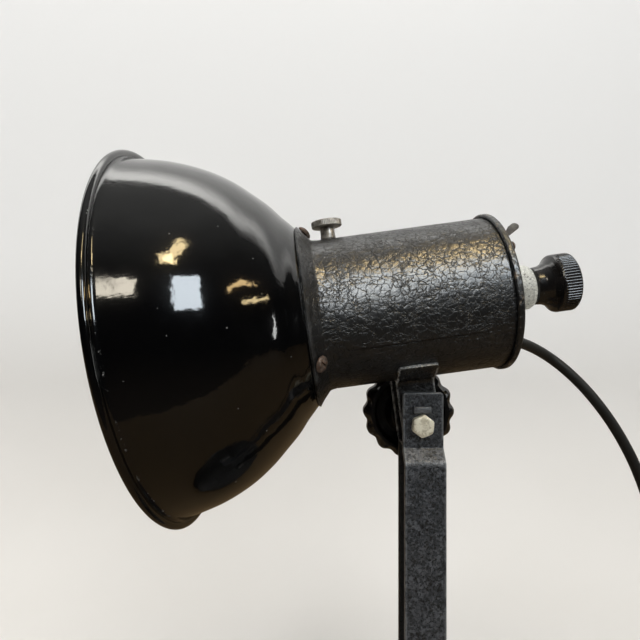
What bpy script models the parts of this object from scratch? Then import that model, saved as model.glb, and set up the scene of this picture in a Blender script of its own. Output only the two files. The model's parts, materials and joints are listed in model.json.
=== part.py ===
"""Photo enlarger lamp head on a two-strap fork and round base.

Frame: origin at the centre of the base's underside, +Z up. +X points to the rear of the lamp
(adjusting knob), -X to the reflector, -Y to the joggled strap with the bolt head, +Y to the
star knob. Lengths are in millimetres. "Along" distances run down the lamp axis, positive
towards the rear, from the mouth of the housing flare.
"""

from math import atan2, cos, hypot, pi, radians, sin, tan

import bmesh
import bpy
from mathutils import Matrix, Vector

MM = 0.001
GAP = 0.3  # clearance between neighbouring solids
ALONG = (0, pi / 2, 0)  # local Z turned to +X, the lamp axis
ACROSS = (-pi / 2, 0, 0)  # local Z turned to +Y, the tilt axis

# Overall layout
PIVOT_H = 245.0  # height of the tilt axis above the table
REST_TILT = 7.8  # nose-down angle of the lamp axis at rest, degrees
AXIS_H = 78.5  # lamp axis above the tilt axis, in the head's own frame
FLANGE_X = -62.5  # mouth of the housing flare, from the tilt axis

# Housing
TUBE_R, TUBE_T, TUBE_LEN = 50.0, 1.5, 122.4
FLARE_R, FLARE_LEN = 60.5, 8.0
FLARE = [(0, FLARE_R), (5.6, 53.2), (7.6, 51.0), (11.0, TUBE_R), (TUBE_LEN, TUBE_R)]  # along, r

# Reflector: sheet bowl, depth in front of the flange against outer radius
BOWL_T = 1.2
BOWL = [(-6.2, 49.6), (0.0, 57.9), (4.0, 62.5), (9.0, 67.8), (16.0, 76.0), (25.0, 84.4),
        (36.0, 93.8), (50.0, 102.7), (68.0, 110.3), (88.5, 115.4), (91.2, 116.5)]
BEAD_DEPTH, BEAD_R, BEAD_TUBE = 93.4, 118.6, 2.4

# Collar screws: seat on the flare, and clock angles about the lamp axis in degrees
SEAT_ALONG, SEAT_R = 3.4, 56.1
COLLAR_CLOCKS = (90, 210, -30)
COLLAR_SHANK_R = 2.0

# Rear cap, bush and adjusting knob
CAP_R, CAP_T, CAP_A = 52.3, 1.2, 122.9
CAP_FACE = CAP_A + CAP_T + GAP  # front of whatever sits against the cap's rear face
BUSH_R, BUSH_START, BUSH_END = 15.0, 112.0, 151.3
ROD_R = 4.0
KNOB_START, KNOB_END, KNOB_R, KNOB_NECK_R = 151.6, 178.0, 19.5, 12.5

# Cables
CABLE_R, INNER_CABLE_R = 3.75, 3.2
CABLE_DROP = 33.2  # cable exit below the lamp axis

# Latch on the rear cap
LATCH_CLOCK = radians(56)  # from the top of the cap towards -Y
LATCH_R = 45.0  # rivet from the lamp axis
LATCH_A, LATCH_T = CAP_A + 2.3, 1.2  # front face and thickness of the strip
RIVET_R = 1.4
TAB_SLANT = 33  # degrees
TAB_TIP_A, TAB_TIP_U, TAB_TIP_R = LATCH_A + 7.6, 13.6, 2.5
TAB_ROOT_A, TAB_SHOULDER_A = LATCH_A + 0.3, LATCH_A + 3.0

# Lamp carriage
SLEEVE_R, SLEEVE_T, SLEEVE_A0, SLEEVE_A1 = 47.6, 1.2, 2.0, 40.0
SLEEVE_END_T = 1.5
ROD_NUT_R, ROD_NUT_T = 6.5, 4.2
SOCKET_R, SHELL_R, SHELL_T, LAMP_CAP_R = 20.0, 14.6, 0.7, 13.1
HOLDER_BACK = 32.9  # front ends of the posts and terminal screws behind the holder
POST_DY, TERMINAL_DY, TERMINAL_Z = 14, 6, -12.5
GLOBE_A, BULB_R, BULB_WALL = -40.0, 30.0, 1.0

# Thumb screw
LOCK_A, LOCK_HEAD_R, LOCK_HEAD_T, LOCK_LIFT, LOCK_BOSS_R = 20.0, 10.25, 4.7, 9.0, 4.9

# Fork
STRAP_W, FAR_W, STRAP_T = 26.0, 20.4, 4.0
LEG_X = 0.8
STRAP_OVER = 20.4  # strap above the tilt axis
JOGGLE, JOGGLE_TOP, JOGGLE_LOW = 7.5, 15.5, 23.3  # sideways step; its ends below the axis
BEND = 6.0  # centreline radius at the foot
FOOT_LEN, FOOT_SCREW_RUN, FOOT_SCREW_DX, FOOT_SCREW_R = 27.0, 15.0, 6.0, 2.5
LUG_SIZE = (11.6, 4.0, 4.2)
LUG_DX, LUG_OUT, LUG_UP = -0.9, 0.9, 9.85

# Saddle bracket
BRACKET_W = 25.0
EAR_Y, EAR_T = 14.0, 2.2
LIP_END, LIP_START = 41.0, 16.6  # degrees from straight below the lamp axis

# Pivot bolt and star knob
BOLT_R, HEX_AF, HEX_H = 4.0, 13.0, 5.3
STAR_R, STAR_LOBES, HUB_Y0, STAR_Y0, STAR_Y1 = 33.4, 14, 20.6, 22.6, 45.0
LOBE_INNER_R, LOBE_BLEND, LOBE_DEPTH = 27, 2.5, 2.3

# Base
BASE_R, BASE_TOP, BASE_LOW, FELT_R, FELT_T = 95.0, 18.0, 2.8, 91.0, 2.5
CABLE_Z = (BASE_LOW + BASE_TOP) / 2 + 0.1

STRAP_Y = EAR_Y + GAP + STRAP_T / 2  # centreline of each strap at the pivot, either side
FOOT_Z = BASE_TOP + GAP + STRAP_T / 2


# ---------------------------------------------------------------- materials
def finish_material(name, colour, roughness, metallic=0.0):
    material = bpy.data.materials.new(name)
    material.use_nodes = True
    shader = material.node_tree.nodes["Principled BSDF"]
    shader.inputs["Base Color"].default_value = (*colour, 1)
    shader.inputs["Roughness"].default_value = roughness
    shader.inputs["Metallic"].default_value = metallic
    return material


WRINKLE = finish_material("wrinkle_paint", colour=(0.022, 0.024, 0.025), roughness=0.42)
ENAMEL = finish_material("black_enamel", colour=(0.006, 0.006, 0.007), roughness=0.08)
BAKELITE = finish_material("bakelite", colour=(0.012, 0.012, 0.013), roughness=0.15)
STEEL = finish_material("nickel_steel", colour=(0.40, 0.39, 0.36), roughness=0.35, metallic=1.0)
ZINC = finish_material("zinc_steel", colour=(0.38, 0.35, 0.26), roughness=0.5, metallic=0.8)
RUSTY = finish_material("rusty_steel", colour=(0.09, 0.055, 0.04), roughness=0.7, metallic=0.5)
BRASS = finish_material("brass", colour=(0.55, 0.40, 0.16), roughness=0.35, metallic=1.0)
GREY = finish_material("grey_bush", colour=(0.50, 0.49, 0.44), roughness=0.65)
RUBBER = finish_material("rubber", colour=(0.014, 0.014, 0.013), roughness=0.6)
PORCELAIN = finish_material("porcelain", colour=(0.80, 0.78, 0.73), roughness=0.2)
OPAL = finish_material("opal_glass", colour=(0.86, 0.86, 0.84), roughness=0.15)
FELT = finish_material("felt", colour=(0.03, 0.05, 0.035), roughness=0.95)
ALU = finish_material("aluminium", colour=(0.55, 0.55, 0.54), roughness=0.45, metallic=1.0)


# ---------------------------------------------------------------- objects
def place(name, data, parent, loc, rot):
    """Links a new object, its location given in millimetres in the parent's frame."""
    obj = bpy.data.objects.new(name, data)
    bpy.context.scene.collection.objects.link(obj)
    obj.parent = parent
    obj.location = Vector(loc) * MM
    obj.rotation_euler = rot
    return obj


def add_object(name, body, material=None, parent=None, loc=(0, 0, 0), rot=(0, 0, 0), sharp=38):
    """Turns a bmesh, in millimetres, into a named object; edges over sharp degrees stay crisp."""
    bmesh.ops.scale(body, vec=(MM, MM, MM), verts=body.verts)
    bmesh.ops.recalc_face_normals(body, faces=body.faces)
    mesh = bpy.data.meshes.new(name)
    body.to_mesh(mesh)
    body.free()
    mesh.shade_smooth()
    mesh.set_sharp_from_angle(angle=radians(sharp))
    if material:
        mesh.materials.append(material)
    return place(name, mesh, parent, loc, rot)


def combine(target, name, body, operation, parent=None, loc=(0, 0, 0), rot=(0, 0, 0)):
    """Adds a Boolean of target with a hidden helper made from body."""
    tool = add_object(name, body, None, parent, loc, rot)
    tool.hide_render = True
    tool.display_type = "WIRE"
    modifier = target.modifiers.new(name, "BOOLEAN")
    modifier.operation = operation
    modifier.object = tool


def drill(target, name, radius, depth, parent, loc, rot=(0, 0, 0), segs=20):
    """Cuts a round hole, centred on loc, out of target."""
    body = cylinder(-depth / 2, depth / 2, radius, segs)
    combine(target, name, body, "DIFFERENCE", parent, loc, rot)


# ---------------------------------------------------------------- shapes
def turned(profile, segs, ring=False, reshape=None):
    """A body of revolution about local Z. profile holds (z, r); ring closes it into a loop clear
    of the axis. reshape(radius, angle) may change a vertex's radius, for a hexagon or lobes."""
    body = bmesh.new()
    verts = [body.verts.new((r, 0, z)) for z, r in profile]
    edges = [body.edges.new(pair) for pair in zip(verts, verts[1:])]
    if ring:
        edges.append(body.edges.new((verts[-1], verts[0])))
    bmesh.ops.spin(body, geom=verts + edges, cent=(0, 0, 0), axis=(0, 0, 1), dvec=(0, 0, 0),
                   angle=2 * pi, steps=segs, use_merge=True, use_duplicate=False)
    bmesh.ops.remove_doubles(body, verts=body.verts, dist=1e-5)
    if reshape:
        for vert in body.verts:
            radius = hypot(vert.co.x, vert.co.y)
            if radius > 1e-6:
                factor = reshape(radius, atan2(vert.co.y, vert.co.x)) / radius
                vert.co.x *= factor
                vert.co.y *= factor
    return body


def cylinder(low, high, radius, segs):
    return turned([(low, 0), (low, radius), (high, radius), (high, 0)], segs)


def pipe(low, high, inner, outer, segs, reshape=None):
    profile = [(low, inner), (high, inner), (high, outer), (low, outer)]
    return turned(profile, segs, ring=True, reshape=reshape)


def hexed(above):
    """Reshape that makes every radius over `above` the inscribed radius of a hexagon."""
    def reshape(radius, angle):
        if radius <= above:
            return radius
        return radius / cos((angle + pi / 6) % (pi / 3) - pi / 6)
    return reshape


def lobed(radius, angle):
    """Reshape that scallops the star knob's rim."""
    if radius < LOBE_INNER_R:
        return radius
    share = min(1.0, (radius - LOBE_INNER_R) / LOBE_BLEND)
    return radius - LOBE_DEPTH * share * (1 - cos(STAR_LOBES * angle)) / 2


def offset_path(points, dist):
    """The path moved sideways by dist, to its left, with mitred corners."""
    directions = []
    for (x, y), (next_x, next_y) in zip(points, points[1:]):
        length = hypot(next_x - x, next_y - y)
        directions.append(((next_x - x) / length, (next_y - y) / length))
    moved = []
    for i, (x, y) in enumerate(points):
        meeting = directions[max(i - 1, 0):i + 1]
        normal_x = sum(-dir_y for _, dir_y in meeting)
        normal_y = sum(dir_x for dir_x, _ in meeting)
        length = hypot(normal_x, normal_y)
        normal_x, normal_y = normal_x / length, normal_y / length
        dot = normal_x * -meeting[0][1] + normal_y * meeting[0][0]
        moved.append((x + normal_x * dist / dot, y + normal_y * dist / dot))
    return moved


def sheet_strip(path, thick, width):
    """A flat strip bent along path in the local YZ plane, as wide as width along X."""
    body = bmesh.new()
    rows = [[body.verts.new((x, y, z)) for y, z in offset_path(path, dist)
             for x in (-width / 2, width / 2)] for dist in (thick / 2, -thick / 2)]
    left, right = rows
    last = 2 * (len(path) - 1)
    for i in range(0, last, 2):
        for row in rows:
            body.faces.new((row[i], row[i + 1], row[i + 3], row[i + 2]))
        for j in (i, i + 1):
            body.faces.new((left[j], left[j + 2], right[j + 2], right[j]))
    for i in (0, last):
        body.faces.new((left[i], left[i + 1], right[i + 1], right[i]))
    return body


def slab(low_points, high_points):
    """A solid between two matching outlines in 3-D."""
    body = bmesh.new()
    low = [body.verts.new(point) for point in low_points]
    high = [body.verts.new(point) for point in high_points]
    body.faces.new(low)
    body.faces.new(high[::-1])
    for i in range(len(low)):
        j = (i + 1) % len(low)
        body.faces.new((low[i], low[j], high[j], high[i]))
    return body


def arc(centre_x, centre_y, radius, start, stop, steps):
    """Points on a circle between two angles in degrees."""
    angles = [radians(start + (stop - start) * i / steps) for i in range(steps + 1)]
    return [(centre_x + radius * cos(angle), centre_y + radius * sin(angle)) for angle in angles]


def bezier(start, start_pull, end_pull, end, steps):
    """Points along a cubic curve."""
    points = []
    for i in range(steps + 1):
        t = i / steps
        points.append(start * (1 - t) ** 3 + start_pull * 3 * t * (1 - t) ** 2
                      + end_pull * 3 * t * t * (1 - t) + end * t ** 3)
    return points


def hose(points, radius, sides):
    """A round cord along points in 3-D, closed at both ends."""
    body = bmesh.new()
    tangents = [(points[min(i + 1, len(points) - 1)] - points[max(i - 1, 0)]).normalized()
                for i in range(len(points))]
    side = tangents[0].orthogonal().normalized()
    rings = []
    for point, tangent in zip(points, tangents):
        # Carry the previous side direction on, so the cord doesn't twist
        side = (side - tangent * side.dot(tangent)).normalized()
        other = tangent.cross(side)
        angles = [2 * pi * k / sides for k in range(sides)]
        rings.append([body.verts.new(point + side * radius * cos(angle)
                                     + other * radius * sin(angle)) for angle in angles])
    for one, two in zip(rings, rings[1:]):
        for k in range(sides):
            after = (k + 1) % sides
            body.faces.new((one[k], one[after], two[after], two[k]))
    body.faces.new(rings[0])
    body.faces.new(rings[-1])
    return body


def on_axis(along, above=0):
    """Place on, or above, the lamp axis in the head's frame."""
    return Vector((FLANGE_X + along, 0, AXIS_H + above))


# ---------------------------------------------------------------- base
def make_base():
    profile = [
        (BASE_LOW, 0), (BASE_LOW, BASE_R - 1.5), (BASE_LOW + 1.5, BASE_R),
        (BASE_TOP - 5, BASE_R), (BASE_TOP - 1.6, BASE_R - 1.4), (BASE_TOP, BASE_R - 5),
        (BASE_TOP, 0)]
    base = add_object("base_plate", turned(profile, 36), WRINKLE)
    add_object("base_felt", cylinder(0, FELT_T, FELT_R, 40), FELT)

    cable_hole = (BASE_R, 0, CABLE_Z)
    drill(base, "cut_cable_hole", 5.2, 30, None, cable_hole, ALONG)
    grommet = [(-6, 4.05), (2, 4.05), (2, 6.6), (0.5, 6.9), (0.5, 4.9), (-6, 4.9)]
    add_object("base_grommet", turned(grommet, 20, ring=True), RUBBER, None, cable_hole, ALONG)
    return base


# ---------------------------------------------------------------- fork
def make_leg(name, side, width, joggle=0.0):
    """A strap from its top end down to the end of its foot; side is -1 or 1 along Y."""
    top_y = side * STRAP_Y
    low_y = top_y + side * joggle
    path = [(top_y, PIVOT_H + STRAP_OVER)]
    if joggle:
        path += [(top_y, PIVOT_H - JOGGLE_TOP), (low_y, PIVOT_H - JOGGLE_LOW)]
    bend_y = low_y + side * BEND
    for turn in (0, 30, 60, 90):
        path.append((bend_y - side * BEND * cos(radians(turn)),
                     FOOT_Z + BEND - BEND * sin(radians(turn))))
    path.append((low_y + side * (BEND + FOOT_LEN), FOOT_Z))
    leg = add_object(name, sheet_strip(path, STRAP_T, width), WRINKLE, None, (LEG_X, 0, 0),
                     sharp=25)
    drill(leg, f"cut_{name}_pivot", BOLT_R + GAP, 12, None, (0, top_y, PIVOT_H), ACROSS, 24)
    return leg


def add_stop_lug(leg):
    """Raised lug that keeps the bolt head from turning."""
    body = bmesh.new()
    bmesh.ops.create_cube(body, size=1, matrix=Matrix.Diagonal((*LUG_SIZE, 1)))
    loc = (LEG_X + LUG_DX, -STRAP_Y - STRAP_T / 2 - LUG_OUT, PIVOT_H + LUG_UP)
    combine(leg, "join_stop_lug", body, "UNION", None, loc)


def add_foot_screws(leg, base, y, first_number):
    seat = FOOT_Z + STRAP_T / 2 + GAP
    profile = [
        (seat - 13, 0), (seat - 13, FOOT_SCREW_R), (seat, FOOT_SCREW_R), (seat, 4.0),
        (seat + 3.0, 4.0), (seat + 3.5, 3.3), (seat + 3.5, 0)]
    hole_r = FOOT_SCREW_R + GAP
    for number, side in enumerate((-1, 1), first_number):
        x = LEG_X + side * FOOT_SCREW_DX
        drill(leg, f"cut_foot_{number}", hole_r, 12, None, (x, y, FOOT_Z), segs=16)
        drill(base, f"cut_base_{number}", hole_r, 24, None, (x, y, BASE_TOP + 2), segs=16)
        add_object(f"foot_screw_{number}", turned(profile, 12, reshape=hexed(3.4)), STEEL, None,
                   (x, y, 0), sharp=30)


def make_fork(base):
    near_leg = make_leg("near_leg", -1, STRAP_W, JOGGLE)
    far_leg = make_leg("far_leg", 1, FAR_W)
    add_stop_lug(near_leg)
    screw_y = STRAP_Y + BEND + FOOT_SCREW_RUN
    add_foot_screws(near_leg, base, -(screw_y + JOGGLE), 1)
    add_foot_screws(far_leg, base, screw_y, 3)


# ---------------------------------------------------------------- pivot bolt and star knob
def make_pivot_bolt():
    seat = -STRAP_Y - STRAP_T / 2 - GAP  # under the head
    end = STAR_Y0 + 13
    profile = [
        (seat - HEX_H, 0), (seat - HEX_H, 5.4), (seat - HEX_H + 0.8, HEX_AF / 2),
        (seat, HEX_AF / 2), (seat, BOLT_R), (end, BOLT_R), (end, 0)]
    add_object("pivot_bolt", turned(profile, 24, reshape=hexed(5.5)), ZINC, None,
               (0, 0, PIVOT_H), (-pi / 2, radians(7), 0), sharp=30)
    add_object("knob_washer", pipe(STRAP_Y + 2.3, STRAP_Y + 3.9, 4.3, 9.0, 24), STEEL, None,
               (0, 0, PIVOT_H), ACROSS)


def make_star_knob():
    profile = [
        (STAR_Y0 + 16, 0), (STAR_Y0 + 16, 6.6), (HUB_Y0, 6.6), (HUB_Y0, 14.0),
        (STAR_Y0 + 8, 17), (STAR_Y0 + 8, 24.6), (STAR_Y0, 25.6), (STAR_Y0 + 0.3, 28.6),
        (STAR_Y0 + 2.4, 31.4), (STAR_Y0 + 5.4, STAR_R), (STAR_Y0 + 12, STAR_R),
        (STAR_Y0 + 15.5, 30.2), (STAR_Y0 + 18.5, 14), (STAR_Y1 - 1, 12), (STAR_Y1, 9.5),
        (STAR_Y1, 0)]
    add_object("star_knob", turned(profile, STAR_LOBES * 4, reshape=lobed), BAKELITE, None,
               (0, 0, PIVOT_H), ACROSS, sharp=50)
    add_object("star_knob_insert", pipe(HUB_Y0 + 0.2, STAR_Y0 + 15.6, 4.3, 6.2, 20), BRASS, None,
               (0, 0, PIVOT_H), ACROSS)


# ---------------------------------------------------------------- housing and reflector
def make_housing(head):
    profile = FLARE + offset_path(FLARE, -TUBE_T)[::-1]
    return add_object("housing_tube", turned(profile, 40, ring=True), WRINKLE, head, on_axis(0),
                      ALONG)


def make_reflector(head):
    outside = [(-depth, r) for depth, r in BOWL]
    inside = offset_path(outside, BOWL_T)[::-1]
    bead = [(-depth, r) for depth, r in arc(BEAD_DEPTH, BEAD_R, BEAD_TUBE, 205, -85, 5)]
    # Every other point is enough for the inside
    profile = outside + bead + inside[::2]
    return add_object("reflector", turned(profile, 40, ring=True), ENAMEL, head, on_axis(0),
                      ALONG)


def add_collar_screws(head, housing, reflector):
    """Three screws through the flare into the crown of the bowl, square to the flare."""
    profile = [
        (-6.5, 0), (-6.5, COLLAR_SHANK_R), (0.9, COLLAR_SHANK_R), (0.9, 5.1), (1.9, 5.1),
        (3.0, 4.0), (3.6, 2.2), (3.8, 0)]
    slope = Vector((FLARE_R - TUBE_R, FLARE_LEN)).normalized()  # (along the axis, outwards)
    for number, clock in enumerate(COLLAR_CLOCKS, 1):
        spoke = Vector((0, cos(radians(clock)), sin(radians(clock))))  # from the lamp axis
        normal = Vector((1, 0, 0)) * slope.x + spoke * slope.y
        seat = on_axis(SEAT_ALONG) + spoke * SEAT_R
        turn = normal.to_track_quat("Z", "Y").to_euler()
        for target in (housing, reflector):
            drill(target, f"cut_{target.name}_screw_{number}", COLLAR_SHANK_R + GAP, 16, head,
                  seat - normal * 2, turn, 14)
        add_object(f"collar_screw_{number}", turned(profile, 18), RUSTY, head, seat, turn)


# ---------------------------------------------------------------- rear cap
def make_rear_cap(head):
    """Cap with a rolled edge over the tube's end."""
    edge = CAP_A + 1.8
    profile = [
        (CAP_A, 0), (CAP_A, 50.35), (CAP_A - 2.2, 50.35), (CAP_A - 2.5, 51.3),
        (CAP_A - 1.5, CAP_R), (edge - 1, CAP_R), (edge, 51.2), (edge, 49.9),
        (CAP_A + CAP_T, 49.3), (CAP_A + CAP_T, 0)]
    cap = add_object("rear_cap", turned(profile, 36), WRINKLE, head, on_axis(0), ALONG)
    drill(cap, "cut_cap_bush", 10.4, 10, head, on_axis(CAP_A), ALONG, 28)
    drill(cap, "cut_cap_cable", 6.0, 10, head, on_axis(CAP_A, -CABLE_DROP), ALONG, 24)
    return cap


def make_rear_bush(head):
    profile = [
        (BUSH_START, 4.5), (BUSH_END - 0.2, 4.5), (BUSH_END, 5.2), (BUSH_END, 10.5),
        (BUSH_END - 1.2, 13.4), (BUSH_END - 3.4, BUSH_R), (CAP_FACE, BUSH_R), (CAP_FACE, 10.0),
        (BUSH_START, 10.0)]
    add_object("rear_bush", turned(profile, 24, ring=True), GREY, head, on_axis(0), ALONG)
    add_object("bush_nut", pipe(116.5, CAP_A - GAP, 10.3, 13.5, 24, hexed(11)), STEEL, head,
               on_axis(0), ALONG, sharp=30)


def make_cable_gland(head):
    profile = [
        (CAP_A - 3.2, 4.1), (CAP_FACE + 2.6, 4.1), (CAP_FACE + 2.6, 5.6), (CAP_FACE + 1.4, 7.6),
        (CAP_FACE, 7.8), (CAP_FACE, 5.6), (CAP_A - GAP, 5.6), (CAP_A - GAP, 7.6),
        (CAP_A - 3.2, 6.6)]
    add_object("cable_gland", turned(profile, 24, ring=True), RUBBER, head,
               on_axis(0, -CABLE_DROP), ALONG)


def make_latch(head, cap):
    """A small strip on a rivet, with a bent finger tab."""
    spot = on_axis(0) + Vector((0, -LATCH_R * sin(LATCH_CLOCK), LATCH_R * cos(LATCH_CLOCK)))
    drill(cap, "cut_cap_rivet", RIVET_R + GAP, 10, head, spot + Vector((CAP_A, 0, 0)), ALONG, 12)
    rivet = [
        (CAP_A - 1.6, 0), (CAP_A - 1.6, 2.6), (CAP_A - GAP, 2.6), (CAP_A - GAP, RIVET_R),
        (CAP_A + 3.8, RIVET_R), (CAP_A + 3.8, 3.1), (CAP_A + 4.8, 2.8), (CAP_A + 5.6, 1.7),
        (CAP_A + 5.9, 0)]
    add_object("latch_rivet", turned(rivet, 14), RUSTY, head, spot, ALONG)

    # In the pivot's frame u (local Y) runs up along the cap's rim and v (local Z) outwards
    pivot = place("latch_pivot", None, head, spot, (LATCH_CLOCK, 0, 0))
    bar = arc(0, 0, 3.6, 110, 250, 8) + [(9.5, -2.8), (9.5, 2.8)]
    strip = slab(*([(along, u, v) for u, v in bar] for along in (LATCH_A, LATCH_A + LATCH_T)))
    latch = add_object("cap_latch", strip, RUSTY, pivot, sharp=30)
    combine(latch, "join_latch_tab", latch_tab(), "UNION", pivot)
    drill(latch, "cut_latch_hole", RIVET_R + GAP, 6, pivot, (LATCH_A + LATCH_T / 2, 0, 0),
          ALONG, 12)


def latch_tab():
    """Tab square to the bar, slanting upwards as it leaves the cap, with a round end."""
    slant = radians(TAB_SLANT)
    half_width = TAB_TIP_R / cos(slant)  # measured along u
    root_u = TAB_TIP_U - half_width - (TAB_TIP_A - TAB_ROOT_A) * tan(slant)
    shoulder_u = TAB_TIP_U + half_width - (TAB_TIP_A - TAB_SHOULDER_A) * tan(slant)
    outline = [(TAB_ROOT_A, root_u)]
    outline += arc(TAB_TIP_A, TAB_TIP_U, TAB_TIP_R, TAB_SLANT - 90, TAB_SLANT + 90, 8)
    outline += [(TAB_SHOULDER_A, shoulder_u), (TAB_ROOT_A, 9.2)]
    return slab(*([(along, u, v) for along, u in outline] for v in (1.4, 2.6)))


# ---------------------------------------------------------------- saddle bracket
def make_bracket(head):
    """Lips on the tube, ears down to the pivot, web under the bolt."""
    lip_r = TUBE_R + GAP + EAR_T / 2
    ear_y = EAR_Y - EAR_T / 2
    right = arc(0, AXIS_H, lip_r, -90 + LIP_END, -90 + LIP_START, 5)
    right += [(ear_y, AXIS_H - 52.6), (ear_y, -11.0), (ear_y - 1.0, -13.0), (ear_y - 3.2, -14.0)]
    left = [(-y, z) for y, z in right[::-1]]
    bracket = add_object("saddle_bracket", sheet_strip(right + left, EAR_T, BRACKET_W), WRINKLE,
                         head, sharp=28)
    drill(bracket, "cut_bracket_pivot", BOLT_R + GAP, 40, head, (0, 0, 0), ACROSS, 24)
    add_object("distance_tube", pipe(-11.5, 11.5, BOLT_R + GAP, 6.5, 20), STEEL, head,
               rot=ACROSS)


# ---------------------------------------------------------------- thumb screw
def make_thumb_screw(head, housing):
    """Boss and screw on top of the tube; heights are from the lamp axis."""
    drill(housing, "cut_lock_hole", 4.6, 14, head, on_axis(LOCK_A, TUBE_R))
    head_low = TUBE_R + LOCK_LIFT
    head_top = head_low + LOCK_HEAD_T
    boss_low, boss_top = 48.7, head_low - 1.0
    boss = [
        (boss_low, 3.2), (boss_top, 3.2), (boss_top, LOCK_BOSS_R), (TUBE_R + GAP, LOCK_BOSS_R),
        (TUBE_R + GAP, 4.2), (boss_low, 4.2)]
    add_object("lock_boss", turned(boss, 24, ring=True), STEEL, head, on_axis(LOCK_A))
    screw = [
        (47.95, 0), (47.95, 2.2), (48.7, 2.9), (head_low - 0.4, 2.9), (head_low - 0.4, 5.4),
        (head_low, LOCK_HEAD_R - 0.5), (head_low + 0.5, LOCK_HEAD_R),
        (head_top - 0.5, LOCK_HEAD_R), (head_top, LOCK_HEAD_R - 0.6), (head_top, 0)]
    add_object("lock_screw", turned(screw, 24), STEEL, head, on_axis(LOCK_A))


# ---------------------------------------------------------------- lamp carriage
def add_to_carriage(name, body, material, carriage, y=0, z=0, sharp=38):
    return add_object(name, body, material, carriage, (0, y, z), ALONG, sharp)


def make_sleeve(carriage):
    inner = SLEEVE_R - SLEEVE_T
    bore = ROD_R + GAP
    end_front = SLEEVE_A1 - SLEEVE_END_T
    profile = [
        (SLEEVE_A0, inner), (SLEEVE_A0, SLEEVE_R), (SLEEVE_A1, SLEEVE_R), (SLEEVE_A1, bore),
        (end_front, bore), (end_front, inner)]
    sleeve = add_to_carriage("carriage_sleeve", turned(profile, 36, ring=True), ALU, carriage)
    drill(sleeve, "cut_sleeve_cable", 7.0, 8, carriage, (SLEEVE_A1 - 1, 0, -CABLE_DROP), ALONG)


def make_focus_rod(carriage):
    profile = [
        (33.2, 0), (33.2, ROD_R - 0.5), (33.8, ROD_R), (172.2, ROD_R), (172.8, ROD_R - 0.5),
        (172.8, 0)]
    add_to_carriage("focus_rod", turned(profile, 20), STEEL, carriage)
    for name, start in (("rod_nut_front", 33.9), ("rod_nut_rear", SLEEVE_A1 + GAP)):
        nut = pipe(start, start + ROD_NUT_T, ROD_R + GAP, ROD_NUT_R, 12, hexed(5))
        add_to_carriage(name, nut, STEEL, carriage, sharp=30)


def make_lamp_holder(carriage):
    body = [
        (32.6, 0), (32.6, 18.4), (31.0, SOCKET_R), (6.2, SOCKET_R), (5.0, 18.6), (5.0, 15.2),
        (27.5, 15.2), (27.5, 0)]
    contact = [(24.8, 0), (24.8, 3.2), (25.6, 4.4), (27.2, 4.4), (27.2, 0)]
    terminal = [(HOLDER_BACK, 0), (HOLDER_BACK, 3.0), (34.6, 3.0), (35.2, 2.2), (35.2, 0)]
    add_to_carriage("lamp_holder", turned(body, 32), PORCELAIN, carriage)
    add_to_carriage("lamp_shell", pipe(5.6, 27.0, SHELL_R - SHELL_T, SHELL_R, 28), BRASS,
                    carriage)
    add_to_carriage("centre_contact", turned(contact, 16), BRASS, carriage)
    for number, side in enumerate((-1, 1), 1):
        post = cylinder(HOLDER_BACK, SLEEVE_A1 - SLEEVE_END_T - GAP, 2.6, 12)
        add_to_carriage(f"holder_post_{number}", post, STEEL, carriage, y=side * POST_DY)
        add_to_carriage(f"terminal_screw_{number}", turned(terminal, 12), BRASS, carriage,
                        y=side * TERMINAL_DY, z=TERMINAL_Z)


def globe(radius):
    """Round end of the bulb, from its tip on the axis towards the neck."""
    angles = [radians(degree) for degree in range(0, 127, 21)]
    return [(GLOBE_A - radius * cos(angle), radius * sin(angle)) for angle in angles]


def make_bulb(carriage):
    cap = [
        (24.4, 0), (24.4, 4.5), (22.4, 8.0), (20.5, LAMP_CAP_R), (8.0, LAMP_CAP_R), (8.0, 12.3),
        (19.8, 12.3), (21.5, 0)]
    add_to_carriage("bulb_cap", turned(cap, 24), BRASS, carriage)
    neck = [(-8.0, 15.2), (-1.0, 12.4), (7.0, 11.9), (19.0, 11.9)]
    inside = globe(BULB_R - BULB_WALL) + [(z, r - BULB_WALL) for z, r in neck]
    add_to_carriage("bulb_glass", turned(globe(BULB_R) + neck + inside[::-1], 20), OPAL,
                    carriage)


def make_focus_knob(carriage):
    profile = [
        (173.2, 0), (173.2, ROD_R + GAP), (KNOB_START, ROD_R + GAP),
        (KNOB_START, KNOB_NECK_R - 0.8), (KNOB_START + 0.8, KNOB_NECK_R),
        (KNOB_START + 5.5, 13.0), (KNOB_START + 9.0, 14.6), (KNOB_START + 11.6, 17.0),
        (KNOB_START + 13.0, 19.0), (166.5, KNOB_R), (176.0, KNOB_R), (177.0, 18.6),
        (177.6, 15.0), (KNOB_END, 0)]
    add_to_carriage("focus_knob", turned(profile, 24), BAKELITE, carriage)


# ---------------------------------------------------------------- cables
def make_mains_cable():
    """Cord from the rear cap, looping down behind the fork into the base."""
    tilt = radians(REST_TILT)
    rearward = Vector((cos(tilt), 0, sin(tilt)))  # head's X and Z in the world
    upward = Vector((-sin(tilt), 0, cos(tilt)))
    hole = on_axis(CAP_A, -CABLE_DROP)
    cap_exit = Vector((0, 0, PIVOT_H)) + rearward * hole.x + upward * hole.z
    loop = Vector((165, 0, PIVOT_H - 110))  # rearmost part of the loop
    entry = Vector((BASE_R - 4, 0, CABLE_Z))
    path = [cap_exit + rearward * 0.5]
    path += bezier(cap_exit + rearward * 3, cap_exit + rearward * 36,
                   loop + Vector((0, 0, 98)), loop, 15)
    path += bezier(loop, loop - Vector((0, 0, 72)),
                   entry + Vector((52, 0, 0)), entry + Vector((7, 0, 0)), 13)[1:]
    path.append(entry)
    add_object("mains_cable", hose(path, CABLE_R, 8), RUBBER)


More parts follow.
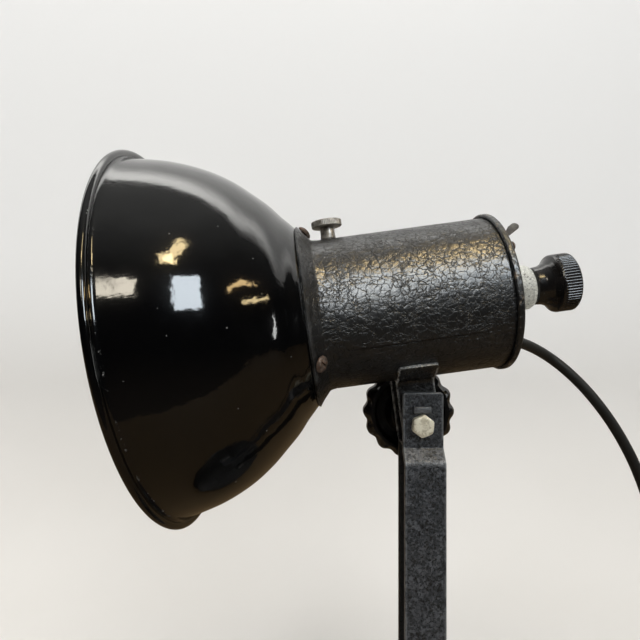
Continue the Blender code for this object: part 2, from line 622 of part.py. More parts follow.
def make_inner_cable(head):
    stations = [(118.5, -CABLE_DROP), (80, -CABLE_DROP), (42, -CABLE_DROP), (34, -31),
                (30, -26.5)]  # along, height above the lamp axis
    path = [on_axis(along, above) for along, above in stations]
    add_object("inner_cable", hose(path, INNER_CABLE_R, 8), RUBBER, head)


# ---------------------------------------------------------------- assembly
def make_head():
    head = place("head_pivot", None, None, (0, 0, PIVOT_H), (0, radians(-REST_TILT), 0))
    housing = make_housing(head)
    add_collar_screws(head, housing, make_reflector(head))
    cap = make_rear_cap(head)
    make_rear_bush(head)
    make_cable_gland(head)
    make_latch(head, cap)
    make_bracket(head)
    make_thumb_screw(head, housing)
    make_inner_cable(head)

    carriage = place("carriage", None, head, on_axis(0), (0, 0, 0))
    for make_part in (make_sleeve, make_focus_rod, make_lamp_holder, make_bulb, make_focus_knob):
        make_part(carriage)


for old in list(bpy.data.objects):
    bpy.data.objects.remove(old, do_unlink=True)

make_fork(make_base())
make_pivot_bolt()
make_star_knob()
make_head()
make_mains_cable()
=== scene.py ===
"""Tilting lamp on a round base: enamelled reflector, wrinkle-painted housing and two-legged stand.

The stand is upright on the floor at Z = 0, with the tilt axis along Y; "near" is -Y, where the
camera is. The head is modelled along its own X axis, from the open reflector at -X to the
adjusting knob at +X. Pieces are drawn in millimetres and scaled to metres when they are built.
"""
import json
import math
from math import acos, ceil, cos, hypot, pi, radians, sin, sqrt, tan

import bmesh
import bpy
import numpy as np
from mathutils import Matrix, Vector


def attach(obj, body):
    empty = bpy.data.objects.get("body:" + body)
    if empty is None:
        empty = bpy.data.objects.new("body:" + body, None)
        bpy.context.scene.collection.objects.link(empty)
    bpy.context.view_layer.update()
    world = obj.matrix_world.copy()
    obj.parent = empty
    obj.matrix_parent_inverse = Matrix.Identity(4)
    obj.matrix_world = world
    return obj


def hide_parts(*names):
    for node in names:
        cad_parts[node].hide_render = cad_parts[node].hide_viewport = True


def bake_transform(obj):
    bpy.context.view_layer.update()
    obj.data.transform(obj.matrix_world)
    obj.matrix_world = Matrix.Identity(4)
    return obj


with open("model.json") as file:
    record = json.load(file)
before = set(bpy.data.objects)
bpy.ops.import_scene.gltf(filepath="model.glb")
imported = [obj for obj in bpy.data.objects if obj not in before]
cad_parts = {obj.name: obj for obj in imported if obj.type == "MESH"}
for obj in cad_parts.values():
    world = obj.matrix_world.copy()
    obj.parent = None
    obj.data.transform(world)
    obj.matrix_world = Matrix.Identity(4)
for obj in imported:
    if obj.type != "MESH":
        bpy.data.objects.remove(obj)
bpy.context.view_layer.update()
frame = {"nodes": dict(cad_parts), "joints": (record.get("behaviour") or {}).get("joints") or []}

MM = 0.001
SCENE = bpy.context.scene
JOINT = {joint["name"]: joint for joint in frame["joints"]}
PIVOT = Vector(JOINT["head_tilt"]["pos_m"])
AXIS = Vector(JOINT["lamp_slide"]["axis"]).normalized()
UP = Vector((-AXIS.z, 0, AXIS.x))
PIVOT_H = PIVOT.z * 1000

# Main sizes, mm
LAMP_BACK, LAMP_RISE = 62.5, 78.5  # lamp origin from the tilt axis, in the head's frame
TUBE_R = 50.0
CORD_Z = -33.2  # where the cord leaves the cap, below the lamp axis
CAP_X = 122.9  # inner face of the rear cap
THUMB_X = 20  # thumb screw along the lamp
SEAM = radians(-117)  # lapped seam of the housing, from the top towards -Y
BASE_R = 95.0
BASE_CORD_Z = 10.5
FOOT_Z = 20.3  # middle of the leg feet
LEG_X = 0.8
TOP_Y = 16.3  # legs at the pivot, either side
NEAR_LOW_Y = -23.8
FOOT_HOLES = [(LEG_X + dx, y) for y in (NEAR_LOW_Y - 21, TOP_Y + 21) for dx in (-6, 6)]
EYE_X, EYE_Y, EYE_RISE = -65.3, -326.0, 67.2  # camera; its rise is from the tilt axis


def shift(base, offset):
    return base @ Matrix.Translation([c * MM for c in offset])


def aim(base, centre, axis, direction):
    """Frame at centre whose axis points along direction; all given in base."""
    turn = Vector(axis).rotation_difference(Vector(direction)).to_matrix().to_4x4()
    return base @ Matrix.Translation(Vector(centre) * MM) @ turn


WORLD = Matrix.Identity(4)
# Head: origin on the tilt axis, X along the lamp axis. Lamp: the same, origin on the lamp axis.
HEAD = (Matrix.Translation(PIVOT)
        @ Matrix(((AXIS.x, 0, UP.x), (0, 1, 0), (AXIS.z, 0, UP.z))).to_4x4())
LAMP = shift(HEAD, (-LAMP_BACK, 0, LAMP_RISE))

# ------------------------------------------------------------------ outlines


def rounded(points, steps=5):
    """Polyline with filleted corners. A point may hold a third number, its corner radius."""
    out = []
    for i, point in enumerate(points):
        radius = point[2] if len(point) > 2 else 0
        if radius <= 0 or i in (0, len(points) - 1):
            out.append(point[:2])
            continue
        corner = Vector(point[:2])
        back, ahead = Vector(points[i - 1][:2]) - corner, Vector(points[i + 1][:2]) - corner
        back_len, ahead_len = back.length, ahead.length
        back, ahead = back / back_len, ahead / ahead_len
        half = acos(max(-1.0, min(1.0, back.dot(ahead)))) / 2
        if half > pi / 2 - 0.02:  # all but straight
            out.append((corner.x, corner.y))
            continue
        cut = min(radius / tan(half), back_len * 0.49, ahead_len * 0.49)
        centre = corner + (back + ahead).normalized() * (cut * tan(half) / sin(half))
        start, end = corner + back * cut - centre, corner + ahead * cut - centre
        sweep = start.angle(end)
        sign = 1 if start.x * end.y - start.y * end.x > 0 else -1
        for k in range(steps + 1):
            t = sign * sweep * k / steps
            spoke = Vector((start.x * cos(t) - start.y * sin(t), start.x * sin(t) + start.y * cos(t)))
            out.append((centre.x + spoke.x, centre.y + spoke.y))
    return out


def dense(points, step):
    """Polyline with extra points so that no piece is longer than step."""
    out = [points[0]]
    for start, end in zip(points, points[1:]):
        dx, dy = end[0] - start[0], end[1] - start[1]
        count = max(1, int(ceil(hypot(dx, dy) / step)))
        out += [(start[0] + dx * k / count, start[1] + dy * k / count) for k in range(1, count + 1)]
    return out


def catmull(points, per=8):
    """Smooth curve through the points."""
    out = []
    pts = [Vector(p) for p in points]
    pts = [pts[0] * 2 - pts[1]] + pts + [pts[-1] * 2 - pts[-2]]
    for i in range(1, len(pts) - 2):
        p0, p1, p2, p3 = pts[i - 1:i + 3]
        for k in range(per):
            t = k / per
            out.append(0.5 * ((p1 * 2) + (p2 - p0) * t + (p0 * 2 - p1 * 5 + p2 * 4 - p3) * t * t
                              + (p1 * 3 - p0 - p2 * 3 + p3) * t ** 3))
    out.append(pts[-2])
    return [tuple(p) for p in out]


def offset(points, distance):
    """The polyline moved to its left by distance, with mitred corners."""
    pts = np.array(points, float)
    steps = pts[1:] - pts[:-1]
    pts = pts[np.concatenate([[True], np.hypot(*steps.T) > 1e-7])]
    steps = pts[1:] - pts[:-1]
    steps /= np.hypot(*steps.T)[:, None]
    normals = np.stack([-steps[:, 1], steps[:, 0]], 1)
    before, after = np.vstack([normals[:1], normals]), np.vstack([normals, normals[-1:]])
    mitre = before + after
    mitre /= np.hypot(*mitre.T)[:, None]
    return [tuple(p) for p in pts + mitre * (distance / (mitre * before).sum(1))[:, None]]


def arc(cx, cy, radius, start, end, steps):
    angles = [radians(start + (end - start) * i / steps) for i in range(steps + 1)]
    return [(cx + radius * cos(t), cy + radius * sin(t)) for t in angles]


# ------------------------------------------------------------------ meshes


def link(obj):
    SCENE.collection.objects.link(obj)
    return obj


def make_object(name, verts, faces, mats, base=WORLD, mat_index=None, sharp=40.0, attrs=None,
                recalc=True):
    """Smooth-shaded object from points in millimetres in the frame base; sharp is in degrees."""
    mesh = bpy.data.meshes.new(name)
    mesh.from_pydata((np.asarray(verts, float) * MM).tolist(), [], [list(f) for f in faces])
    for mat in mats:
        mesh.materials.append(mat)
    if mat_index is not None:
        mesh.polygons.foreach_set("material_index", np.asarray(mat_index, np.int32))
    for key, values in (attrs or {}).items():
        layer = mesh.attributes.new(key, "FLOAT", "POINT")
        layer.data.foreach_set("value", np.asarray(values, np.float32))
    if recalc:
        bm = bmesh.new()
        bm.from_mesh(mesh)
        bmesh.ops.recalc_face_normals(bm, faces=bm.faces)
        bm.to_mesh(mesh)
        bm.free()
    mesh.shade_smooth()
    mesh.set_sharp_from_angle(angle=radians(sharp))
    obj = link(bpy.data.objects.new(name, mesh))
    obj.matrix_world = base
    return obj


def stacked_faces(rows, count):
    """Quads between successive loops of count points, with both ends capped."""
    faces = []
    for row in range(rows - 1):
        for i in range(count):
            j = (i + 1) % count
            faces.append((row * count + i, row * count + j,
                          (row + 1) * count + j, (row + 1) * count + i))
    return faces + [tuple(range(count)), tuple(range((rows - 1) * count, rows * count))]


def lathe(name, profile, segs, mats, base, closed=False, shape=None, mat_of=None, sharp=40.0,
          axis="X"):
    """Body of revolution. profile holds (along, radius), along the given axis of base.

    shape(along, radius, angles) returns new radii, or new places along the axis and radii.
    Angle 0 points up, or to +X for axis Z. mat_of(row) gives the material index of a row.
    """
    prof = np.array(profile, float)
    rows = len(prof)
    angles = np.linspace(0, 2 * pi, segs, endpoint=False)
    on_axis = prof[:, 1] < 1e-6
    verts, along = [], []
    index = np.zeros((rows, segs), int)
    for i, (place_along, radius) in enumerate(prof):
        if on_axis[i]:
            index[i, :] = len(verts)
            verts.append((place_along, 0.0, 0.0))
            along.append(place_along * MM)
            continue
        along += [place_along * MM] * segs
        if shape:
            shaped = shape(place_along, radius, angles)
            if isinstance(shaped, tuple):
                place_along, radius = shaped
            else:
                radius = shaped
        index[i] = np.arange(len(verts), len(verts) + segs)
        verts.extend(zip(np.full(segs, place_along), radius * np.sin(angles),
                         radius * np.cos(angles)))
    faces, mat_index = [], []
    for i in range(rows if closed else rows - 1):
        j = (i + 1) % rows
        if on_axis[i] and on_axis[j]:
            continue
        here, there = index[i], index[j]
        here_next, there_next = np.roll(here, -1), np.roll(there, -1)
        if on_axis[i]:
            corners = [here, there_next, there]
        elif on_axis[j]:
            corners = [here, here_next, there]
        else:
            corners = [here, here_next, there_next, there]
        faces += np.stack(corners, 1).tolist()
        mat_index += [mat_of(i) if mat_of else 0] * segs
    order = {"X": [0, 1, 2], "Y": [1, 0, 2], "Z": [2, 1, 0]}[axis]
    return make_object(name, np.array(verts)[:, order], faces, mats, base, mat_index, sharp,
                       {"along": along})


HEX = 99.0  # profile radius that marks the rows made hexagonal


def hexagon(half_flats, corner, *chamfers, twist=0.0):
    """Lathe shape. chamfers are cones (along, radius there, slope) that trim the hexagon."""
    def shape(along, radius, angles):
        if radius < HEX:
            return radius
        local = (angles + twist + pi / 6) % (pi / 3) - pi / 6
        trim = min(r + abs(along - at) * slope for at, r, slope in chamfers)
        return np.minimum(half_flats / np.cos(local), min(corner, trim))
    return shape


def knurl(count, depth, low, high, least, power):
    """Lathe shape: ridges between two places along the axis, where the radius is at least least."""
    def shape(along, radius, angles):
        if radius < least or along < low or along > high:
            return radius
        fade = min(1.0, (along - low) / 0.5, (high - along) / 0.5)
        return radius - depth * fade * (1 - np.abs(np.sin(angles * count / 2)) ** power)
    return shape


def section(half_w, half_t, radius, steps=4):
    """Rounded rectangle as (across, through, wear); wear is 1 on the rounded corners."""
    pts = []
    w, t = half_w - radius, half_t - radius
    for cx, cy, start in ((w, t, 0), (-w, t, 90), (-w, -t, 180), (w, -t, 270)):
        pts += [(x, y, 1.0) for x, y in arc(cx, cy, radius, start, start + 90, steps)]
    # points on the flat faces, so that the wear fades out quickly
    out = []
    for i, here in enumerate(pts):
        out.append(here)
        there = pts[(i + 1) % len(pts)]
        dx, dy = there[0] - here[0], there[1] - here[1]
        gap = hypot(dx, dy)
        if gap > 3:
            out += [(here[0] + dx * f, here[1] + dy * f, 0.0) for f in (1.0 / gap, 0.5, 1 - 1.0 / gap)]
        elif gap > 0.9:
            out.append((here[0] + dx * 0.5, here[1] + dy * 0.5, 0.8))
    return out


def strap(name, path, mats, base, thick, width, corner, end_round, wobble, seed, middle_x=0.0,
          step=2.0):
    """Flat bar with its width along X, swept along path in the YZ plane, with rounded ends."""
    line = np.array(dense(path, step))
    lengths = np.concatenate([[0], np.cumsum(np.hypot(*(line[1:] - line[:-1]).T))])
    total = lengths[-1]
    # closer stations at the ends to round the corners
    extra = [end_round * (1 - cos(pi / 2 * k / 5)) for k in range(6)]
    inside = lengths[(lengths > end_round) & (lengths < total - end_round)]
    stations = sorted(set(np.round(np.concatenate([inside, extra, total - np.array(extra)]), 6)))
    path_y = np.interp(stations, lengths, line[:, 0])
    path_z = np.interp(stations, lengths, line[:, 1])
    tangent = np.stack([np.gradient(path_y, stations), np.gradient(path_z, stations)], 1)
    tangent /= np.linalg.norm(tangent, axis=1)[:, None]
    outline = section(width / 2, thick / 2, corner)
    verts, wear = [], []
    for k, station in enumerate(stations):
        edge = min(station, total - station)
        cut = 0.0
        if edge < end_round:
            cut = end_round - sqrt(max(0, end_round ** 2 - (end_round - edge) ** 2))
        thin = max(0.0, 0.25 - edge) * 0.8
        for across, through, worn in outline:
            x = across
            if abs(across) > 1:
                x = math.copysign(max(abs(across) - cut, 0.2), across)
            out = math.copysign(max(abs(through) - thin, 0.1), through)
            out += wobble * (sin(station * 0.11 + seed)
                             + 0.6 * sin(station * 0.23 + 2 * seed + across * 0.13))
            verts.append((middle_x + x, path_y[k] - tangent[k, 1] * out,
                          path_z[k] + tangent[k, 0] * out))
            wear.append(1.0 if edge < 0.3 else worn)
    return make_object(name, verts, stacked_faces(len(stations), len(outline)), mats, base, None,
                       45.0, {"wear": wear})


def plate(name, outline, layers, build, mats, base):
    """Sheet piece from layers (level, inset); build(point, level) gives a position."""
    mid = np.mean(np.array(outline), axis=0)
    verts = []
    for level, inset in layers:
        for p in outline:
            way = Vector((p[0] - mid[0], p[1] - mid[1]))
            way = way * max(0.0, 1 - inset / max(way.length, 0.5))
            verts.append(build((mid[0] + way.x, mid[1] + way.y), level))
    return make_object(name, verts, stacked_faces(len(layers), len(outline)), mats, base, None, 50)


def cord(name, pts, radius, sides, mats):
    side = Vector((0, 1, 0))
    verts = []
    for i, p in enumerate(pts):
        tangent = (pts[min(i + 1, len(pts) - 1)] - pts[max(i - 1, 0)]).normalized()
        side = (side - tangent * side.dot(tangent)).normalized()
        other = tangent.cross(side)
        for k in range(sides):
            t = 2 * pi * k / sides
            verts.append(p + side * radius * cos(t) + other * radius * sin(t))
    return make_object(name, verts, stacked_faces(len(pts), sides), mats, sharp=60.0)


def subtract(obj, tool_bm, tool_matrix):
    """Takes the tool's volume out of the object and applies the cut."""
    mesh = bpy.data.meshes.new("drill")
    tool_bm.to_mesh(mesh)
    tool_bm.free()
    tool = link(bpy.data.objects.new("drill", mesh))
    tool.matrix_world = tool_matrix
    modifier = obj.modifiers.new("drill", "BOOLEAN")
    modifier.object = tool
    bpy.context.view_layer.update()
    evaluated = obj.evaluated_get(bpy.context.evaluated_depsgraph_get())
    result = bpy.data.meshes.new_from_object(evaluated)
    obj.modifiers.clear()
    obj.data = result
    bpy.data.objects.remove(tool)


def drill(obj, radius, length, centre, direction, base, segs=48):
    bm = bmesh.new()
    bmesh.ops.create_cone(bm, cap_ends=True, segments=segs, radius1=radius * MM,
                          radius2=radius * MM, depth=length * MM)
    subtract(obj, bm, aim(base, centre, (0, 0, 1), direction))


def cut_slot(obj, width, depth, length, top, base, angle):
    """Screwdriver slot across a head whose top is at X = top in its frame."""
    bm = bmesh.new()
    bmesh.ops.create_cube(bm, size=1)
    bmesh.ops.bevel(bm, geom=bm.edges[:], offset=0.08, segments=1)
    bmesh.ops.scale(bm, vec=(2 * depth * MM, width * MM, length * MM), verts=bm.verts)
    subtract(obj, bm, shift(base @ Matrix.Rotation(angle, 4, "X"), (top, 0, 0)))
    obj.data.set_sharp_from_angle(angle=radians(35))


def soft_box(name, size, centre, radius, segments, mats, wear):
    bm = bmesh.new()
    bmesh.ops.create_cube(bm, size=1)
    bmesh.ops.scale(bm, vec=size, verts=bm.verts)
    bmesh.ops.bevel(bm, geom=bm.edges[:], offset=radius, segments=segments, affect="EDGES",
                    profile=0.5)
    verts = [tuple(v.co + Vector(centre)) for v in bm.verts]
    faces = [[v.index for v in f.verts] for f in bm.faces]
    bm.free()
    return make_object(name, verts, faces, mats, sharp=45.0, attrs={"wear": [wear] * len(verts)})


# ------------------------------------------------------------------ shader helpers


class Nodes:
    """Short names for building a node tree. A value may be a number, a colour or a socket."""

    def __init__(self, tree, coords):
        self.tree = tree
        self.coords = self.node("ShaderNodeTexCoord").outputs[coords]

    def node(self, kind, **props):
        node = self.tree.nodes.new(kind)
        for key, value in props.items():
            setattr(node, key, value)
        return node

    def set(self, socket, value):
        if isinstance(value, bpy.types.NodeSocket):
            self.tree.links.new(value, socket)
        else:
            socket.default_value = value

    def math(self, operation, first, second=0.0, third=0.0):
        node = self.node("ShaderNodeMath", operation=operation)
        for socket, value in zip(node.inputs, (first, second, third)):
            self.set(socket, value)
        return node.outputs[0]

    def mul(self, product, *factors):
        for factor in factors:
            product = self.math("MULTIPLY", product, factor)
        return product

    def linear(self, value, times, plus):
        return self.math("MULTIPLY_ADD", value, times, plus)

    def flip(self, value):
        return self.math("SUBTRACT", 1.0, value)

    def vmath(self, operation, first, second=(0, 0, 0)):
        node = self.node("ShaderNodeVectorMath", operation=operation)
        self.set(node.inputs[0], first)
        self.set(node.inputs[1], second)
        return node

    def xyz(self):
        node = self.node("ShaderNodeSeparateXYZ")
        self.set(node.inputs[0], self.coords)
        return node.outputs

    def stretch(self, scale):
        node = self.node("ShaderNodeMapping")
        self.set(node.inputs["Vector"], self.coords)
        node.inputs["Scale"].default_value = scale
        return node.outputs[0]

    def noise(self, scale, detail=3.0, rough=0.55, distort=0.0, at=None, out="Fac"):
        node = self.node("ShaderNodeTexNoise")
        self.set(node.inputs["Vector"], at or self.coords)
        node.inputs["Scale"].default_value = scale
        node.inputs["Detail"].default_value = detail
        node.inputs["Roughness"].default_value = rough
        node.inputs["Distortion"].default_value = distort
        return node.outputs[out]

    def voronoi(self, scale, at=None, feature="F1", out="Distance"):
        node = self.node("ShaderNodeTexVoronoi", feature=feature)
        self.set(node.inputs["Vector"], at or self.coords)
        node.inputs["Scale"].default_value = scale
        return node.outputs[out]

    def warp(self, scale, amount, at=None):
        """Coordinates pushed about by noise, amount in metres."""
        colour = self.noise(scale, detail=2.0, at=at, out="Color")
        centred = self.vmath("SUBTRACT", colour, (0.5, 0.5, 0.5)).outputs[0]
        pushed = self.vmath("SCALE", centred)
        pushed.inputs["Scale"].default_value = amount * 2
        return self.vmath("ADD", at or self.coords, pushed.outputs[0]).outputs[0]

    def ramp(self, value, stops):
        node = self.node("ShaderNodeValToRGB")
        elements = node.color_ramp.elements
        while len(elements) < len(stops):
            elements.new(0.5)
        for element, (position, colour) in zip(elements, stops):
            element.position = position
            element.color = (*colour, 1)
        self.set(node.inputs[0], value)
        return node.outputs[0]

    def step(self, value, lo, hi, to=(0.0, 1.0)):
        """Smooth step as the value goes from lo to hi; lo may be the greater."""
        node = self.node("ShaderNodeMapRange", interpolation_type="SMOOTHSTEP")
        self.set(node.inputs["Value"], value)
        for key, limit in zip(("From Min", "From Max", "To Min", "To Max"), (lo, hi, *to)):
            node.inputs[key].default_value = limit
        return node.outputs[0]

    def mix(self, mask, base, to, share=None):
        """Colour that goes from base to another by the mask, times share if given."""
        node = self.node("ShaderNodeMix", data_type="RGBA")
        self.set(node.inputs[0], mask if share is None else self.mul(mask, share))
        for socket, colour in ((node.inputs[6], base), (node.inputs[7], to)):
            self.set(socket, (*colour, 1) if isinstance(colour, tuple) else colour)
        return node.outputs[2]

    def mix_value(self, mask, base, to):
        node = self.node("ShaderNodeMix", data_type="FLOAT")
        self.set(node.inputs[0], mask)
        self.set(node.inputs[2], base)
        self.set(node.inputs[3], to)
        return node.outputs[0]

    def bump(self, height, distance, strength=1.0):
        node = self.node("ShaderNodeBump")
        self.set(node.inputs["Height"], height)
        node.inputs["Distance"].default_value = distance
        node.inputs["Strength"].default_value = strength
        return node.outputs[0]

    def attr(self, name):
        return self.node("ShaderNodeAttribute", attribute_name=name).outputs["Fac"]


class Mat(Nodes):
    """Procedural material in object coordinates."""
    INPUTS = {"colour": "Base Color", "rough": "Roughness", "metal": "Metallic",
              "normal": "Normal", "coat": "Coat Weight", "coat_rough": "Coat Roughness",
              "ior": "IOR", "spec": "Specular IOR Level", "sheen": "Sheen Weight",
              "sub": "Subsurface Weight"}

    def __init__(self, name):
        self.material = bpy.data.materials.new(name)
        self.material.use_nodes = True
        super().__init__(self.material.node_tree, "Object")
        self.bsdf = self.tree.nodes["Principled BSDF"]

    def done(self, **values):
        for key, value in values.items():
            self.set(self.bsdf.inputs[self.INPUTS[key]], value)
        return self.material


# ------------------------------------------------------------------ wrinkle paint


def wrinkle_paint(name, cell, depth, gloss=0.0, worn=False, tint=(0.0070, 0.0074, 0.0080),
                  bare=(0.16, 0.145, 0.125), marks=None):
    """Lumps a few millimetres across, parted by thin wandering creases, over a finer grain.

    cell and depth scale the lumps. worn adds rubbed edges of the bare colour, guided by "wear".
    marks(mat) returns further (mask, colour, share).
    """
    mat = Mat(name)
    coarse = mat.warp(scale=90 / cell, amount=0.0050 * cell)
    fine = mat.warp(scale=330 / cell, amount=0.0014 * cell, at=coarse)
    edge = mat.voronoi(scale=150 / cell, at=fine, feature="DISTANCE_TO_EDGE")
    small_edge = mat.voronoi(scale=290 / cell, at=fine, feature="DISTANCE_TO_EDGE")
    dome = mat.voronoi(scale=150 / cell, at=coarse)
    small_dome = mat.voronoi(scale=360 / cell, at=fine)
    pit = mat.voronoi(scale=430 / cell, at=coarse)
    crease = mat.step(edge, lo=0.0, hi=0.055)
    small_crease = mat.step(small_edge, lo=0.0, hi=0.09)
    some = mat.step(mat.noise(scale=55 / cell), lo=0.45, hi=0.60)
    crease = mat.mul(crease, mat.mix_value(some, base=1.0, to=small_crease))
    pits = mat.mul(mat.step(pit, lo=0.26, hi=0.10),
                   mat.step(mat.noise(scale=80 / cell), lo=0.44, hi=0.60))
    grain = mat.noise(scale=1500 / cell, rough=0.6)
    soft = mat.noise(scale=48 / cell)
    fade = mat.step(mat.noise(scale=40), lo=0.32, hi=0.62, to=(0.5, 1.0))
    height = mat.mul(crease, 0.22)
    height = mat.linear(mat.mul(dome, dome), times=-0.50, plus=height)
    height = mat.linear(mat.mul(small_dome, small_dome), times=-0.26, plus=height)
    height = mat.linear(pits, times=-0.16, plus=height)
    height = mat.mul(height, fade)
    height = mat.linear(grain, times=0.030, plus=height)
    height = mat.linear(soft, times=0.55, plus=height)
    valley = mat.math("MAXIMUM", mat.flip(crease), pits)
    low = mat.step(small_dome, lo=0.36, hi=0.66)
    dust = mat.mul(mat.math("MAXIMUM", valley, low),
                   mat.step(mat.noise(scale=60, detail=4), lo=0.46, hi=0.78))
    base = mat.mix(dust, tint, to=(0.040, 0.036, 0.030), share=0.25)
    # paint rubbed thin in patches
    rub = mat.step(mat.noise(scale=38, detail=5, rough=0.65), lo=0.58, hi=0.80)
    base = mat.mix(mat.mul(rub, crease), base, to=(0.060, 0.058, 0.054), share=0.25)
    # painted shade: creases and pits darkened towards black
    base = mat.mix(valley, base, to=(0.0020, 0.0020, 0.0020), share=0.6)
    rough = mat.linear(valley, times=0.22, plus=0.25 - gloss)
    rough = mat.linear(mat.noise(scale=260), times=0.10, plus=rough)
    spec = mat.linear(valley, times=-0.30, plus=0.60)
    metal = 0.0
    for mask, colour, share in (marks(mat) if marks else ()):
        base = mat.mix(mask, base, to=colour, share=share)
        rough = mat.mix_value(mat.mul(mask, 0.6), rough, to=0.42)
    if worn:
        rubbed = mat.mul(mat.attr("wear"),
                         mat.step(mat.noise(scale=170, detail=5, rough=0.7), lo=0.36, hi=0.56))
        spots = mat.step(mat.noise(scale=75, detail=6, rough=0.72), lo=0.70, hi=0.76)
        rubbed = mat.math("MAXIMUM", rubbed, spots)
        base = mat.mix(rubbed, base, to=bare, share=0.85)
        metal = mat.mul(rubbed, 0.6)
    return mat.done(colour=base, rough=rough, metal=metal, spec=spec,
                    normal=mat.bump(height, distance=0.00095 * cell * depth))


def cap_marks(mat):
    """Brown rubbed spots round the rim of the cap."""
    _, y, z = mat.xyz()
    radius = mat.math("SQRT", mat.math("ADD", mat.mul(y, y), mat.mul(z, z)))
    rim = mat.step(radius, lo=0.0505, hi=0.0520)
    spots = mat.step(mat.noise(scale=170, detail=5, rough=0.7), lo=0.56, hi=0.64)
    return [(mat.mul(rim, spots), (0.17, 0.125, 0.080), 0.8)]


def housing_marks(mat):
    """Dark line of the lapped seam low on the near side, and a painted highlight along the front edge
    of the flare.
    """
    x, y, z = mat.xyz()
    angle = mat.math("ARCTAN2", mat.mul(y, -1.0), z)
    across = mat.mul(mat.math("SUBTRACT", angle, -SEAM), TUBE_R * MM)
    waver = mat.math("SUBTRACT", mat.noise(scale=60, detail=2), 0.5)
    across = mat.linear(waver, times=0.0012, plus=across)
    across = mat.math("ABSOLUTE", mat.math("SUBTRACT", across, 0.0007))
    length = mat.mul(mat.step(x, lo=0.020, hi=0.034), mat.step(x, lo=0.110, hi=0.094))
    line = mat.mul(mat.step(across, lo=0.0009, hi=0.0004), length)
    # painted highlight: the lit front edge of the flare, paler in patches
    lip = mat.mul(mat.step(x, lo=0.0022, hi=0.0008),
                  mat.step(mat.noise(scale=90, detail=4), lo=0.40, hi=0.60))
    return [(line, (0.0006, 0.0006, 0.0006), 0.95), (lip, (0.050, 0.051, 0.052), 0.8)]


def strap_marks(mat):
    """Painted highlights where the near strap's bend faces up, also polished paint there, and along
    its top end; blotched all over.
    """
    _, y, z = mat.xyz()
    top = PIVOT.z
    blotch = mat.step(mat.noise(scale=120, detail=5, rough=0.7), lo=0.30, hi=0.62, to=(0.25, 1.0))
    # painted highlight, with polished paint: pale band where the near strap's bend faces up
    bend = mat.mul(mat.step(z, lo=top - 0.0250, hi=top - 0.0215),
                   mat.step(z, lo=top - 0.0140, hi=top - 0.0165))
    near_side = mat.step(y, lo=-0.010, hi=-0.014)
    # painted highlight along the up-facing top end of the strap
    head = mat.step(z, lo=top + 0.0185, hi=top + 0.0205)
    patch = mat.step(mat.noise(scale=560, detail=4, rough=0.62, distort=0.6), lo=0.47, hi=0.57)
    large = mat.step(mat.noise(scale=150, detail=4, rough=0.6), lo=0.38, hi=0.62, to=(0.35, 1.0))
    hole = mat.step(mat.noise(scale=470, detail=4, rough=0.6, distort=0.5), lo=0.50, hi=0.42)
    return [(mat.mul(bend, near_side, blotch), (0.25, 0.252, 0.256), 0.9),
            (mat.mul(head, blotch), (0.17, 0.18, 0.19), 0.8),
            (hole, (0.0025, 0.0026, 0.003), 0.85),
            (mat.mul(patch, large), (0.092, 0.099, 0.110), 0.95)]


# one paint for both legs in two copies: the far leg's is darker, with dark bare edges, as painted
# shade for its shadowed inner face; the near leg's is lighter and bluer
PAINT_STRAP = wrinkle_paint("wrinkle_strap", cell=0.42, depth=1.1, worn=True,
                            tint=(0.026, 0.030, 0.036), bare=(0.24, 0.25, 0.26), marks=strap_marks)
PAINT_FAR_SHADED = wrinkle_paint("wrinkle_far_strap_shaded", cell=0.42, depth=0.9, worn=True,
                          tint=(0.007, 0.007, 0.007), bare=(0.06, 0.055, 0.05))
PAINT_BRACKET = wrinkle_paint("wrinkle_bracket", cell=0.55, depth=0.8, gloss=0.03, worn=True,
                              tint=(0.0065, 0.0063, 0.0060), bare=(0.36, 0.36, 0.35))
PAINT = wrinkle_paint("wrinkle_housing", cell=0.70, depth=0.95, marks=housing_marks)
PAINT_CAP = wrinkle_paint("wrinkle_cap", cell=0.85, depth=0.8, marks=cap_marks)
PAINT_LUG = wrinkle_paint("wrinkle_lug", cell=0.40, depth=0.8, worn=True,
                          tint=(0.030, 0.033, 0.037), bare=(0.22, 0.23, 0.24))
PAINT_BASE = wrinkle_paint("wrinkle_base", cell=1.1, depth=0.5, gloss=0.06)

# ------------------------------------------------------------------ other materials


